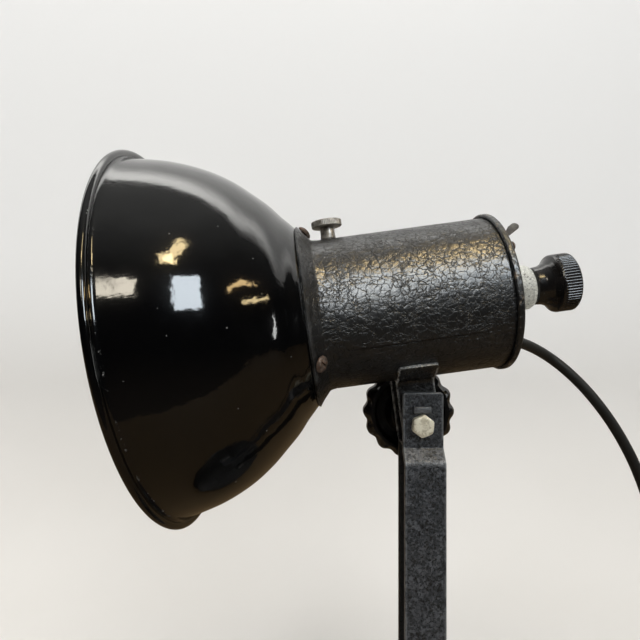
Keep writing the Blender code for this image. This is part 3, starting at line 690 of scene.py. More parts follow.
def enamel_outside():
    """Glossy black enamel: faint waves, pin specks, and chips along the groove by the rim bead."""
    mat = Mat("black_enamel")
    x, y, z = mat.xyz()
    wave = mat.noise(scale=95, detail=2, rough=0.5)
    ripple = mat.noise(scale=300)
    streak = mat.noise(scale=1.0, detail=2, at=mat.stretch((60, 60, 420)))
    height = mat.linear(ripple, times=0.20, plus=mat.mul(wave, 0.80))
    height = mat.linear(streak, times=0.10, plus=height)
    speck = mat.mul(mat.step(mat.voronoi(scale=210), lo=0.10, hi=0.06),
                    mat.step(mat.noise(scale=130, detail=2), lo=0.60, hi=0.66))
    # chipped line in the groove, heaviest low on the near side
    along = mat.attr("along")
    band = mat.mul(mat.step(along, lo=-0.0908, hi=-0.0905), mat.step(along, lo=-0.0896, hi=-0.0899))
    chips = mat.mul(band, mat.step(mat.noise(scale=420, detail=5, rough=0.75), lo=0.54, hi=0.62),
                    mat.step(mat.noise(scale=55), lo=0.46, hi=0.56))
    low_near = mat.mul(mat.step(y, lo=-0.05, hi=-0.10), mat.step(z, lo=0.050, hi=0.030))
    chips = mat.mul(chips, mat.linear(low_near, times=0.85, plus=0.15))
    marks = mat.math("MAXIMUM", mat.mul(speck, 0.8), chips)
    haze = mat.mul(mat.step(x, lo=-0.066, hi=-0.084),
                   mat.step(mat.noise(scale=40, detail=4, rough=0.6), lo=0.45, hi=0.75))
    dust = mat.mul(mat.step(mat.noise(scale=2400, detail=2, rough=0.5), lo=0.66, hi=0.74),
                   mat.step(mat.noise(scale=22), lo=0.45, hi=0.70))
    base = mat.mix(dust, (0.0010, 0.0010, 0.0012), to=(0.30, 0.30, 0.29), share=0.05)
    base = mat.mix(marks, base, to=(0.26, 0.26, 0.25))
    rough = mat.linear(haze, times=0.09, plus=0.035)
    rough = mat.linear(mat.noise(scale=60, detail=4), times=0.05, plus=rough)
    rough = mat.linear(marks, times=0.55, plus=rough)
    film = mat.step(mat.noise(scale=34, detail=4, rough=0.6), lo=0.34, hi=0.70, to=(0.02, 0.09))
    return mat.done(colour=base, rough=rough, metal=0.0, normal=mat.bump(height, distance=0.00016),
                    ior=1.56, spec=0.5, coat=film, coat_rough=0.26)


def enamel_inside():
    """White enamel, stained, browner towards the neck, with a few dark specks."""
    mat = Mat("white_enamel")
    stain = mat.step(mat.noise(scale=28, detail=5, rough=0.65), lo=0.50, hi=0.80)
    neck = mat.step(mat.xyz()[0], lo=-0.045, hi=0.0)
    base = mat.mix(stain, (0.80, 0.79, 0.75), to=(0.62, 0.56, 0.45), share=0.30)
    base = mat.mix(neck, base, to=(0.45, 0.40, 0.32), share=0.35)
    speck = mat.mul(mat.step(mat.voronoi(scale=260), lo=0.09, hi=0.05),
                    mat.step(mat.noise(scale=120, detail=2), lo=0.62, hi=0.68))
    base = mat.mix(speck, base, to=(0.02, 0.02, 0.02))
    return mat.done(colour=base, rough=mat.linear(mat.noise(scale=80), times=0.12, plus=0.10),
                    metal=0.0, ior=1.52,
                    normal=mat.bump(mat.noise(scale=110, detail=2), distance=0.00012))


def bakelite(name, swirl):
    mat = Mat(name)
    flow = mat.noise(scale=55, detail=6, rough=0.6, distort=1.5)
    base = mat.mix(mat.step(flow, lo=0.45, hi=0.75, to=(0.0, swirl)),
                   (0.0055, 0.0052, 0.0052), to=(0.022, 0.014, 0.010))
    scuff = mat.step(mat.noise(scale=420, detail=6, rough=0.75), lo=0.58, hi=0.72)
    rough = mat.linear(scuff, times=0.20, plus=0.13)
    rough = mat.linear(mat.noise(scale=40), times=0.10, plus=rough)
    dust = mat.step(mat.noise(scale=1900), lo=0.64, hi=0.76)
    base = mat.mix(dust, base, to=(0.20, 0.19, 0.17), share=0.10)
    height = mat.linear(scuff, times=-0.3, plus=mat.noise(scale=700))
    return mat.done(colour=base, rough=rough, metal=0.0, ior=1.60,
                    normal=mat.bump(height, distance=0.00004))


def bare_metal(name, tint, dark, rough, scale=1.0, rust=None, rust_lo=0.6, scratch=0.00003,
               metal=1.0):
    """Old metal: blotchy tarnish, fine grain and an optional rust bloom above rust_lo."""
    mat = Mat(name)
    blot = mat.noise(scale=160 * scale, detail=5, rough=0.65, distort=0.4)
    fine = mat.noise(scale=900 * scale)
    lines = mat.noise(scale=1.0, detail=2, at=mat.stretch((2500, 2500, 2500)))
    base = mat.mix(mat.step(blot, lo=0.34, hi=0.60), dark, to=tint)
    base = mat.mix(mat.step(fine, lo=0.62, hi=0.80, to=(0.0, 0.5)), base, to=dark)
    roughness = mat.linear(blot, times=-0.22, plus=rough + 0.14)
    metallic = metal
    height = mat.linear(lines, times=0.5, plus=mat.mul(fine, 0.5))
    if rust:
        bloom = mat.noise(scale=240 * scale, detail=6, rough=0.72, distort=0.8)
        patch = mat.step(bloom, lo=rust_lo, hi=rust_lo + 0.10)
        colour = mat.mix(mat.noise(scale=700 * scale), rust, to=tuple(c * 0.35 for c in rust))
        base = mat.mix(patch, base, to=colour)
        roughness = mat.mix_value(patch, roughness, to=0.85)
        metallic = mat.math("SUBTRACT", metal, mat.mul(patch, metal))
        height = mat.linear(patch, times=0.9, plus=height)
    return mat.done(colour=base, rough=roughness, metal=metallic,
                    normal=mat.bump(height, distance=scratch * 3, strength=0.8))


def grey_compound():
    """Pressed grey compound with pale and dark grains."""
    mat = Mat("grey_compound")
    to_grey = mat.node("ShaderNodeRGBToBW")
    mat.set(to_grey.inputs[0], mat.voronoi(scale=950, out="Color"))
    grain = to_grey.outputs[0]
    base = mat.ramp(grain, [(0.0, (0.13, 0.13, 0.12)), (0.16, (0.46, 0.46, 0.42)),
                            (0.45, (0.62, 0.62, 0.56)), (0.80, (0.76, 0.76, 0.69)),
                            (1.0, (0.88, 0.87, 0.81))])
    stain = mat.step(mat.noise(scale=90, detail=5, rough=0.65), lo=0.48, hi=0.78)
    base = mat.mix(stain, base, to=(0.20, 0.17, 0.12), share=0.45)
    spots = mat.step(mat.noise(scale=1500, rough=0.6), lo=0.64, hi=0.70)
    base = mat.mix(spots, base, to=(0.06, 0.055, 0.05), share=0.6)
    height = mat.linear(grain, times=0.4, plus=mat.noise(scale=1300, detail=4))
    return mat.done(colour=base, rough=mat.linear(mat.noise(scale=300), times=0.25, plus=0.45),
                    metal=0.0, normal=mat.bump(height, distance=0.00014))


def rubber(name, tint, rough):
    mat = Mat(name)
    wear = mat.step(mat.noise(scale=60, detail=5, rough=0.6), lo=0.45, hi=0.75)
    return mat.done(colour=mat.mix(wear, tint, to=(0.020, 0.0195, 0.018), share=0.4),
                    rough=mat.linear(wear, times=0.15, plus=rough), metal=0.0, spec=0.5,
                    normal=mat.bump(mat.noise(scale=1800), distance=0.00005))


def felt():
    mat = Mat("felt")
    fibres = mat.noise(scale=1400, detail=5, rough=0.7, distort=1.0)
    base = mat.mix(mat.noise(scale=500, detail=4), (0.016, 0.028, 0.018), to=(0.05, 0.075, 0.05))
    return mat.done(colour=base, rough=0.95, metal=0.0, sheen=0.4,
                    normal=mat.bump(fibres, distance=0.0004))


def porcelain():
    mat = Mat("porcelain")
    stain = mat.step(mat.noise(scale=50, detail=4), lo=0.45, hi=0.75, to=(0.0, 0.35))
    spots = mat.step(mat.noise(scale=700), lo=0.68, hi=0.74)
    base = mat.mix(stain, (0.78, 0.75, 0.69), to=(0.55, 0.48, 0.38))
    base = mat.mix(spots, base, to=(0.25, 0.2, 0.15), share=0.5)
    return mat.done(colour=base, rough=0.18, metal=0.0, ior=1.5,
                    normal=mat.bump(mat.noise(scale=200, detail=2), distance=0.0001))


def opal():
    mat = Mat("opal_glass")
    cloud = mat.noise(scale=45)
    base = mat.mix(mat.step(cloud, lo=0.35, hi=0.75), (0.88, 0.88, 0.86), to=(0.80, 0.80, 0.78))
    return mat.done(colour=base, rough=mat.linear(cloud, times=0.06, plus=0.10), metal=0.0,
                    normal=mat.bump(mat.noise(scale=120, detail=2), distance=0.00005),
                    sub=0.25, ior=1.5)


ENAMEL = enamel_outside()
ENAMEL_IN = enamel_inside()
BAKELITE = bakelite("bakelite_knob", swirl=0.35)
BAKELITE_STAR = bakelite("bakelite_star", swirl=0.25)
NICKEL = bare_metal("thumb_nickel", tint=(0.48, 0.45, 0.41), dark=(0.20, 0.18, 0.155), rough=0.36,
                    scale=1.3, rust=(0.13, 0.075, 0.04), rust_lo=0.68, metal=0.6)
ZINC = bare_metal("dull_zinc", tint=(0.96, 0.91, 0.74), dark=(0.58, 0.52, 0.38), rough=0.42,
                  scale=2.2, rust=(0.24, 0.15, 0.09), rust_lo=0.64, scratch=0.00012, metal=0.35)
STEEL = bare_metal("bright_steel", tint=(0.50, 0.49, 0.47), dark=(0.25, 0.24, 0.22), rough=0.28)
RUSTED = bare_metal("rusted_screw", tint=(0.17, 0.13, 0.105), dark=(0.055, 0.038, 0.03),
                    rough=0.58, scale=2.0, rust=(0.17, 0.075, 0.035), rust_lo=0.50,
                    scratch=0.00009, metal=0.55)
TAB_STEEL = bare_metal("grimy_tab", tint=(0.10, 0.092, 0.082), dark=(0.045, 0.040, 0.036),
                       rough=0.50, scale=1.6, rust=(0.10, 0.07, 0.05), rust_lo=0.64,
                       scratch=0.00008, metal=0.2)
BRASS = bare_metal("brass", tint=(0.60, 0.44, 0.17), dark=(0.30, 0.20, 0.07), rough=0.30)
ALUMINIUM = bare_metal("spun_aluminium", tint=(0.62, 0.62, 0.61), dark=(0.40, 0.40, 0.39),
                       rough=0.38, scale=0.7)
GREY = grey_compound()
RUBBER = rubber("cable_rubber", tint=(0.0065, 0.0065, 0.0062), rough=0.46)
GROMMET = rubber("grommet_rubber", tint=(0.014, 0.014, 0.013), rough=0.55)
FELT = felt()
PORCELAIN = porcelain()
OPAL = opal()


def place(obj, body, node):
    """Rides on a body and stands for a CAD node, whose mesh it hides."""
    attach(obj, body)
    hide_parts(node)


# Profiles below hold (along the axis, radius[, corner radius]).
# ------------------------------------------------------------------ reflector

bowl = catmull([(6.2, 49.6), (0.0, 57.9), (-4.0, 62.5), (-9.0, 67.8), (-16.0, 76.0),
                (-25.0, 84.4), (-36.0, 93.8), (-50.0, 102.7), (-68.0, 110.3), (-88.5, 115.4)], 9)
bowl += [(-89.9, 115.8), (-90.9, 116.4), (-91.4, 117.1)]
bead = [(-x, r) for x, r in arc(93.4, 118.6, 2.4, 200, -100, 26)]
inner_wall = [p for p in offset(bowl, 1.2) if p[0] > -90.6][::-1]
rim = bowl + bead + inner_wall
white_from = len(bowl) + 20  # first row of white enamel, partway round the bead


def bowl_shape(along, radius, angles):
    """Spun sheet, slightly out of round, with its rim tipped a degree out of square."""
    grow = min(1.0, max(0.0, (-along - 5) / 60))
    out = radius + grow * (0.10 * np.sin(2 * angles + 0.7)
                           + 0.06 * np.sin(5 * angles + 2.1 + along * 0.02)
                           + 0.025 * np.sin(11 * angles + along * 0.05))
    tilt = min(1.0, max(0.0, (-along - 5) / 88))
    bulge = 0.45 * math.exp(-((along + 28) / 20) ** 2) * min(1.0, max(0.0, (-along - 2) / 8))
    out = out + np.cos(angles) * (bulge - 0.8 * tilt ** 2)
    return along - tilt * radius * (0.019 * np.cos(angles) + 0.004), out


reflector = lathe("reflector_shade", rim, 288, [ENAMEL, ENAMEL_IN], LAMP, closed=True,
                  shape=bowl_shape, sharp=50,
                  mat_of=lambda row: 0 if row < white_from or row == len(rim) - 1 else 1)

# collar screws: three seats round the flare, square to its slope
SLOPE = Vector((10.5, 8.0)).normalized()
SCREWS = []
for clock in (90, 210, -30):
    spoke = Vector((0, cos(radians(clock)), sin(radians(clock))))
    SCREWS.append((Vector((3.4, 0, 0)) + spoke * 56.1, Vector((1, 0, 0)) * SLOPE.x + spoke * SLOPE.y))


def drill_screw_holes(obj):
    for seat, normal in SCREWS:
        drill(obj, 2.2, 16, seat - normal * 2, normal, LAMP, 32)


drill_screw_holes(reflector)
place(reflector, "lamp_head", "reflector")

# ------------------------------------------------------------------ housing

flare = catmull([(0.0, 60.5), (2.7, 56.6), (5.6, 53.2), (8.0, 50.75), (12.0, TUBE_R)], 7)
flare += [(13 + 2.2 * k, TUBE_R) for k in range(49)]
flare_in = offset(flare + [(122.4, TUBE_R)], -1.5)
housing_profile = flare + [(122.1, TUBE_R), (122.4, 49.7), (122.4, 48.8)]
housing_profile += [p for p in flare_in if p[0] < 121.9][::-1]
housing_profile.append((flare_in[0][0] * 0.5 - 0.1, (flare_in[0][1] + 60.5) / 2 + 0.15))

# along, angle from the top, depth, half length, half width in radians
DENTS = ((58, -0.55, 0.40, 17, 0.30), (92, -1.05, 0.30, 14, 0.22), (40, -1.35, 0.32, 13, 0.24),
         (75, -1.75, -0.26, 16, 0.28), (104, -0.35, 0.22, 11, 0.25), (32, 0.6, 0.3, 15, 0.3),
         (80, 1.5, 0.35, 20, 0.35))


def tube_shape(along, radius, angles):
    """Rolled sheet: slightly out of round, dented, with a lapped seam low on the near side."""
    grow = min(1.0, max(0.0, (along - 8) / 14))
    out = radius + 0.16 * np.sin(2 * angles + 0.4) * grow
    out = out + 0.10 * np.sin(3 * angles + 1.9 + along * 0.02) * grow
    for dent_x, dent_angle, depth, length, width in DENTS:
        away = (angles - dent_angle + pi) % (2 * pi) - pi
        out = out - depth * grow * np.exp(-((along - dent_x) / length) ** 2 - (away / width) ** 2)
    away = ((angles - SEAM + pi) % (2 * pi) - pi) * TUBE_R
    seam = np.where(away > 0, np.exp(-(away / 5.0) ** 2), np.exp(-(away / 0.5) ** 2))
    ends = np.clip((along - 18) / 14, 0, 1) * np.clip((108 - along) / 14, 0, 1)
    return out + ends * (0.55 * seam - 0.30 * np.exp(-((away + 0.7) / 0.45) ** 2))


housing = lathe("housing_shell", housing_profile, 720, [PAINT], LAMP, closed=True,
                shape=tube_shape, sharp=60)
drill_screw_holes(housing)
drill(housing, 4.6, 14, (THUMB_X, 0, TUBE_R), (0, 0, 1), LAMP)
place(housing, "lamp_head", "housing_tube")

SCREW_TOP = 3.75
SCREW_HEAD = rounded([(-6.5, 0), (-6.5, 2.0, 0.4), (0.75, 2.0, 0.1), (0.75, 5.1, 0.25),
                      (1.5, 5.1, 0.5), (2.7, 4.1, 1.6), (3.55, 2.3, 1.6), (SCREW_TOP, 0)])
for number, ((seat, normal), slot_angle) in enumerate(zip(SCREWS, (0.5, 1.1, -0.35)), 1):
    screw_frame = aim(LAMP, seat, (1, 0, 0), normal)
    screw = lathe(f"collar_screw_head_{number}", SCREW_HEAD, 48, [RUSTED], screw_frame, sharp=45)
    cut_slot(screw, width=1.1, depth=1.1, length=12, top=SCREW_TOP, base=screw_frame,
             angle=slot_angle)
    place(screw, "lamp_head", f"collar_screw_{number}")

# ------------------------------------------------------------------ rear cap

cap_profile = rounded([(CAP_X, 10.4), (CAP_X, 48.6, 1.2), (120.7, 50.35, 0.3), (120.4, 51.3, 0.4),
                       (121.1, 52.3, 0.8), (123.9, 52.3, 1.2), (124.75, 51.2, 0.9),
                       (124.6, 49.9, 0.7), (124.0, 49.0, 0.8), (124.1, 46.5, 2.0), (124.1, 10.4)])


def cap_shape(along, radius, angles):
    """Slightly dished inwards, with a wavy rim."""
    wave = 0.10 * np.sin(3 * angles + 1.0) + 0.06 * np.sin(7 * angles + 0.3)
    return along - 0.22 * (1 - min(1, radius / 50)), radius + wave * (radius > 40)


LATCH_ANGLE = radians(56)
RIVET = Vector((0, -45 * sin(LATCH_ANGLE), 45 * cos(LATCH_ANGLE)))
cap = lathe("end_cap", dense(cap_profile, 3.0), 240, [PAINT_CAP], LAMP, closed=True,
            shape=cap_shape, sharp=55)
drill(cap, 6.0, 10, (CAP_X, 0, CORD_Z), (1, 0, 0), LAMP)
drill(cap, 1.7, 10, RIVET + Vector((CAP_X, 0, 0)), (1, 0, 0), LAMP, 24)
place(cap, "lamp_head", "rear_cap")

bush = lathe("end_bush", rounded([(112, 4.5), (150.7, 4.5, 0.2), (151.3, 5.2, 0.4),
                                  (151.3, 10.5, 1.2), (149.9, 13.6, 1.6), (147.3, 15.0, 1.6),
                                  (124.4, 15.0, 0.4), (124.4, 10.0), (112, 10.0, 0.3)]),
             96, [GREY], LAMP, closed=True, sharp=50)
place(bush, "lamp_head", "rear_bush")

NUT_X0, NUT_X1 = 116.5, 122.6
nut = lathe("bush_lock_nut", [(NUT_X0, 10.3), (NUT_X1, 10.3), (NUT_X1, 13.4), (NUT_X1, HEX),
                              (121.7, HEX), (117.4, HEX), (NUT_X0, HEX), (NUT_X0, 13.4)],
            120, [STEEL], LAMP, closed=True, sharp=30,
            shape=hexagon(13.5, 13.5 / cos(pi / 6) - 0.18, (NUT_X0, 14.1, 1.4),
                          (NUT_X1, 14.1, 1.4)))
place(nut, "lamp_head", "bush_nut")

gland = lathe("cord_gland", rounded([(119.7, 4.0, 0.2), (127.0, 4.0, 0.4), (127.0, 5.4, 0.5),
                                     (126.3, 7.2, 0.9), (125.0, 7.9, 0.5), (124.4, 7.8, 0.2),
                                     (124.4, 5.8), (122.6, 5.8), (122.6, 7.6, 0.4),
                                     (119.7, 6.6, 0.5)], 4),
              64, [GROMMET], shift(LAMP, (0, 0, CORD_Z)), closed=True)
place(gland, "lamp_head", "cable_gland")

# ------------------------------------------------------------------ latch on the cap

rivet_frame = LAMP @ Matrix.Translation(RIVET * MM)
rivet = lathe("latch_rivet_head", rounded([(121.3, 0), (121.3, 2.6, 0.3), (122.6, 2.6, 0.2),
                                           (122.6, 1.4), (126.7, 1.4), (126.7, 3.1, 0.2),
                                           (127.6, 2.9, 0.8), (128.5, 1.8, 1.0), (128.8, 0)], 4),
              40, [RUSTED], rivet_frame)
place(rivet, "lamp_head", "latch_rivet")

latch_frame = rivet_frame @ Matrix.Rotation(LATCH_ANGLE, 4, "X")
strip_line = arc(0, 0, 3.6, 252, 108, 14) + [(4.0, 2.8), (6.6, 2.8), (9.0, 2.8), (9.5, 2.3),
                                             (9.5, -2.3), (9.0, -2.8), (6.6, -2.8), (4.0, -2.8)]
latch = plate("latch_strip", strip_line, ((125.2, 0.25), (125.4, 0), (126.2, 0), (126.4, 0.25)),
              lambda p, level: (level, p[0], p[1]), [TAB_STEEL], latch_frame)

# slanted tab standing out from the strip; its round tip and the edges that run down from it
TIP_X, TIP_Y, TIP_R, SLANT = 132.8, 13.6, 2.5, 33
slope, half_tab = tan(radians(SLANT)), TIP_R / cos(radians(SLANT))
tab_line = [(125.6, TIP_Y - half_tab - (TIP_X - 125.6) * slope)]
tab_line += arc(TIP_X, TIP_Y, TIP_R, SLANT - 90, SLANT + 90, 12)
tab_line += [(128.6, TIP_Y + half_tab - (TIP_X - 128.6) * slope), (127.4, 12.2), (126.3, 10.6),
             (125.6, 9.2)]
tab = plate("latch_tab", tab_line,
            ((1.4, 0.3), (1.55, 0.08), (1.75, 0), (2.25, 0), (2.45, 0.08), (2.6, 0.3)),
            lambda p, level: (p[0], p[1], level), [TAB_STEEL], latch_frame)
drill(latch, 1.6, 6, (125.8, 0, 0), (1, 0, 0), latch_frame, 24)
place(latch, "latch", "cap_latch")
place(tab, "latch", "cap_latch")

# ------------------------------------------------------------------ thumb screw and rear knob

boss_frame = shift(LAMP, (THUMB_X, 0, 0))
boss = lathe("thumb_screw_boss", rounded([(48.7, 3.2), (58.0, 3.2, 0.2), (58.0, 4.9, 0.4),
                                          (52.4, 4.9, 0.2), (52.4, 5.1, 0.2), (50.3, 5.1, 0.3),
                                          (50.3, 4.2), (48.7, 4.2, 0.2)], 4),
             56, [NICKEL], boss_frame, closed=True, axis="Z")
place(boss, "lamp_head", "lock_boss")

thumb_profile = rounded([(47.95, 0), (47.95, 2.2), (48.7, 2.9, 0.3), (58.0, 2.9, 0.3),
                         (58.0, 5.4, 0.3), (58.3, 9.6, 0.4), (58.8, 10.25, 0.3),
                         (62.4, 10.25, 0.5), (62.9, 9.5, 0.5), (63.0, 0)], 4)
thumb = lathe("thumb_screw_head", dense(thumb_profile, 1.2), 432, [NICKEL], boss_frame, axis="Z",
              shape=knurl(54, depth=0.22, low=58.6, high=62.7, least=9.9, power=0.8), sharp=50)
place(thumb, "thumb_screw", "lock_screw")

knob_profile = rounded([(173.2, 0), (173.2, 4.3), (151.6, 4.3), (151.6, 11.6), (152.2, 12.5, 0.7),
                        (157.1, 13.0, 6.0), (160.9, 14.7, 4.0), (163.3, 17.0, 3.0),
                        (164.7, 19.0, 0.9), (166.2, 19.5, 0.6), (176.1, 19.5, 0.8),
                        (177.2, 18.4, 1.4), (177.6, 15.0, 3.0), (177.2, 9.0, 3.0),
                        (177.9, 6.0, 3.0), (178.0, 0)], 6)
RIDGES = 62
focus = lathe("focus_knob_body", dense(knob_profile, 1.6), RIDGES * 10, [BAKELITE], LAMP, sharp=55,
              shape=knurl(RIDGES, depth=0.62, low=166.0, high=176.4, least=18.9, power=0.75))
place(focus, "adjusting_knob", "focus_knob")

# ------------------------------------------------------------------ bracket and legs

BRACKET_THICK = 2.2
# (Y, Z) in the head's frame: hugs the tube, then down and under the pivot
side = arc(0, LAMP_RISE, TUBE_R + 0.3 + BRACKET_THICK / 2, -49, -73.4, 18)
side += rounded([side[-1], (12.9, 25.9, 1.6), (12.9, -10.6, 2.6), (9.6, -14.0, 2.4),
                 (0, -14.0)], 6)[1:-1]
bracket = strap("saddle", side + [(-y, z) for y, z in side[::-1]], [PAINT_BRACKET], HEAD,
                thick=BRACKET_THICK, width=25, corner=0.45, end_round=1.6, wobble=0.05, seed=1.0)
drill(bracket, 4.3, 40, (0, 0, 0), (0, 1, 0), HEAD)
place(bracket, "lamp_head", "saddle_bracket")
spacer = lathe("spacer_tube", rounded([(-11.5, 4.3), (-11.5, 6.5, 0.4), (11.5, 6.5, 0.4),
                                       (11.5, 4.3)], 4),
               48, [STEEL], HEAD, closed=True, axis="Y")
place(spacer, "lamp_head", "distance_tube")


def leg_path(top_y, low_y, sign, bend=6.0, foot=27.0):
    """(Y, Z) of a leg from the top; joggles from top_y to low_y below the pivot if they differ."""
    pts = [(top_y, PIVOT_H + 20.4)]
    if top_y != low_y:
        pts += [(top_y, PIVOT_H - 15.5, 3.5), (low_y, PIVOT_H - 23.3, 5.5)]
    pts += [(low_y, FOOT_Z, bend), (low_y + sign * (bend + foot), FOOT_Z)]
    return rounded(pts, 10)


LEG = dict(base=WORLD, thick=4.0, corner=0.55, end_round=1.7, wobble=0.06, middle_x=LEG_X)
near = strap("near_strap", leg_path(-TOP_Y, NEAR_LOW_Y, -1), [PAINT_STRAP], width=26, seed=0.0,
             **LEG)
far = strap("far_strap", leg_path(TOP_Y, TOP_Y, 1), [PAINT_FAR_SHADED], width=20.4, seed=2.0, **LEG)
for leg, y in ((near, -TOP_Y), (far, TOP_Y)):
    drill(leg, 4.3, 12, (0, y, PIVOT_H), (0, 1, 0), WORLD)
for leg, (x, y) in zip((near, near, far, far), FOOT_HOLES):
    drill(leg, 2.8, 12, (x, y, FOOT_Z), (0, 0, 1), WORLD, 32)
lug = soft_box("stop_lug", size=(11.2, 3.9, 4.2), centre=(LEG_X - 0.9, -19.2, PIVOT_H + 9.85),
               radius=0.6, segments=4, mats=[PAINT_LUG], wear=0.8)
place(near, "stand", "near_leg")
place(lug, "stand", "near_leg")
place(far, "stand", "far_leg")

# ------------------------------------------------------------------ pivot bolt and star knob

bolt_frame = shift(WORLD, (0, 0, PIVOT_H))
HEAD_Y0, HEAD_Y1 = -23.9, -18.6  # hexagonal part of the bolt head
bolt_profile = [(-24.1, 0), (-24.08, 2.4), (-24.0, 4.4), (HEAD_Y0, 5.5)]
bolt_profile += [(HEAD_Y0 + 0.12 * k, HEX) for k in range(1, 12)]
bolt_profile += [(y, HEX) for y in (-22.0, -19.6, -19.2, -18.9, HEAD_Y1)]
bolt_profile += [(HEAD_Y1, 4.0), (HEAD_Y1 + 0.2, 3.95), (35.4, 3.95), (35.6, 3.6), (35.6, 0)]
bolt = lathe("pivot_bolt_hex", bolt_profile, 240, [ZINC], bolt_frame, axis="Y", sharp=24,
             shape=hexagon(6.5, 6.5 / cos(pi / 6) - 0.28, (HEAD_Y0, 5.75, 1.45),
                           (HEAD_Y1, 6.9, 1.7), twist=-radians(37)))
place(bolt, "stand", "pivot_bolt")
washer = lathe("knob_side_washer", rounded([(18.6, 4.3), (18.6, 9.0, 0.3), (20.2, 9.0, 0.3),
                                            (20.2, 4.3)], 3),
               64, [STEEL], bolt_frame, closed=True, axis="Y")
place(washer, "stand", "knob_washer")

STAR_Y0 = 22.6
LOBES = 14


def star_shape(along, radius, angles):
    if radius < 28.0:
        return radius
    share = min(1.0, (radius - 28.0) / 3.2)
    return radius - 2.3 * share * ((1 + np.cos(LOBES * angles)) / 2) ** 1.25


star_profile = rounded([(STAR_Y0 + 16, 0), (STAR_Y0 + 16, 6.6, 0.3), (20.6, 6.6, 0.3),
                        (20.6, 14.0, 0.8), (STAR_Y0 + 8, 17, 1.2), (STAR_Y0 + 8, 24.4, 1.6),
                        (STAR_Y0, 25.5, 0.5), (22.9, 28.6, 1.4), (25.0, 31.4, 2.0),
                        (28.0, 33.4, 2.0), (34.6, 33.4, 2.4), (38.1, 30.2, 4.0),
                        (41.1, 14.0, 6.0), (STAR_Y0 + 21.0, 12.0, 2.0), (45.0, 9.5, 1.6),
                        (45.0, 0)], 7)
star_knob = lathe("star_hand_knob", dense(star_profile, 1.8), LOBES * 20, [BAKELITE_STAR],
                  bolt_frame, shape=star_shape, axis="Y", sharp=50)
place(star_knob, "clamp_knob", "star_knob")
insert = lathe("star_knob_bush", rounded([(20.8, 4.3), (20.8, 6.2, 0.3), (38.2, 6.2, 0.3),
                                          (38.2, 4.3)], 3),
               48, [BRASS], bolt_frame, closed=True, axis="Y")
place(insert, "clamp_knob", "star_knob_insert")

# ------------------------------------------------------------------ lamp carriage

sleeve_profile = rounded([(2.0, 46.4), (2.0, 47.6, 0.3), (40.0, 47.6, 1.0), (40.0, 4.3),
                          (38.5, 4.3), (38.5, 46.4, 0.8)], 4)
sleeve = lathe("inner_sleeve", dense(sleeve_profile, 3.0), 128, [ALUMINIUM], LAMP, closed=True)
drill(sleeve, 7.0, 8, (39, 0, CORD_Z), (1, 0, 0), LAMP)
place(sleeve, "lamp_carriage", "carriage_sleeve")


def rod_thread(along, radius, angles, low=34.2, high=47.6, pitch=1.25, depth=0.35):
    if not low < along < high:
        return radius
    return radius - depth * (0.5 + 0.5 * np.cos(2 * pi * along / pitch - angles))


rod_profile = [(33.2, 0), (33.2, 3.5), (33.8, 4.0)] + [(34 + 0.25 * k, 4.0) for k in range(56)]
rod_profile += [(172.2, 4.0), (172.8, 3.5), (172.8, 0)]
rod = lathe("focus_spindle", rod_profile, 48, [STEEL], LAMP, shape=rod_thread, sharp=60)
place(rod, "lamp_carriage", "focus_rod")

for name, node, start in (("rod_nut_a", "rod_nut_front", 33.9), ("rod_nut_b", "rod_nut_rear", 40.3)):
    end = start + 4.2
    line = [(start, 4.4), (end, 4.4), (end, 6.2), (end, HEX)]
    line += [(end - 0.15 * k, HEX) for k in range(1, 6)]
    line += [(start + 0.15 * k, HEX) for k in range(5, 0, -1)] + [(start, HEX), (start, 6.2)]
    rod_nut = lathe(name, line, 96, [STEEL], LAMP, closed=True, sharp=28,
                    shape=hexagon(6.5, 7.35, (start, 6.75, 1.6), (end, 6.75, 1.6)))
    place(rod_nut, "lamp_carriage", node)

holder_profile = rounded([(32.6, 0), (32.6, 18.4, 1.0), (31.0, 20.0, 1.0), (22.0, 20.0, 0.6),
                          (21.2, 19.3, 0.6), (20.4, 20.0, 0.6), (6.2, 20.0, 1.0),
                          (5.0, 18.6, 1.0), (5.0, 15.2, 0.4), (27.5, 15.2, 0.5), (27.5, 0)])
holder = lathe("porcelain_holder", dense(holder_profile, 3.0), 96, [PORCELAIN], LAMP)
place(holder, "lamp_carriage", "lamp_holder")


def shell_thread(along, radius, angles):
    """Round thread shared by the shell and the bulb cap."""
    return radius + 0.22 * np.cos(2 * pi * along / 3.62 - angles)


def cap_thread(along, radius, angles):
    return shell_thread(along, radius, angles) if 12.8 < radius and 9 < along < 20 else radius


shell_line = [(5.6 + 0.3 * k, 14.35) for k in range(72)]
shell = lathe("screw_shell", shell_line + [(x, r - 0.62) for x, r in shell_line[::-1]], 72,
              [BRASS], LAMP, closed=True, shape=shell_thread, sharp=70)
place(shell, "lamp_carriage", "lamp_shell")
contact = lathe("centre_spring", rounded([(24.8, 0), (24.8, 3.0, 0.6), (25.6, 4.4, 0.4),
                                          (27.2, 4.4), (27.2, 0)], 4),
                40, [BRASS], LAMP)
place(contact, "lamp_carriage", "centre_contact")

cap_line = [(24.4, 0), (24.4, 4.3), (24.0, 4.8), (22.6, 7.8), (20.9, 12.0), (20.3, 12.9)]
cap_line += [(20.0 - 0.3 * k, 12.9) for k in range(38)]
cap_line += [(8.3, 12.9), (8.0, 12.7), (8.0, 12.3), (19.6, 12.3), (21.2, 9.0), (22.0, 0)]
lamp_cap = lathe("bulb_screw_cap", cap_line, 72, [BRASS], LAMP, shape=cap_thread, sharp=70)
place(lamp_cap, "lamp_carriage", "bulb_cap")

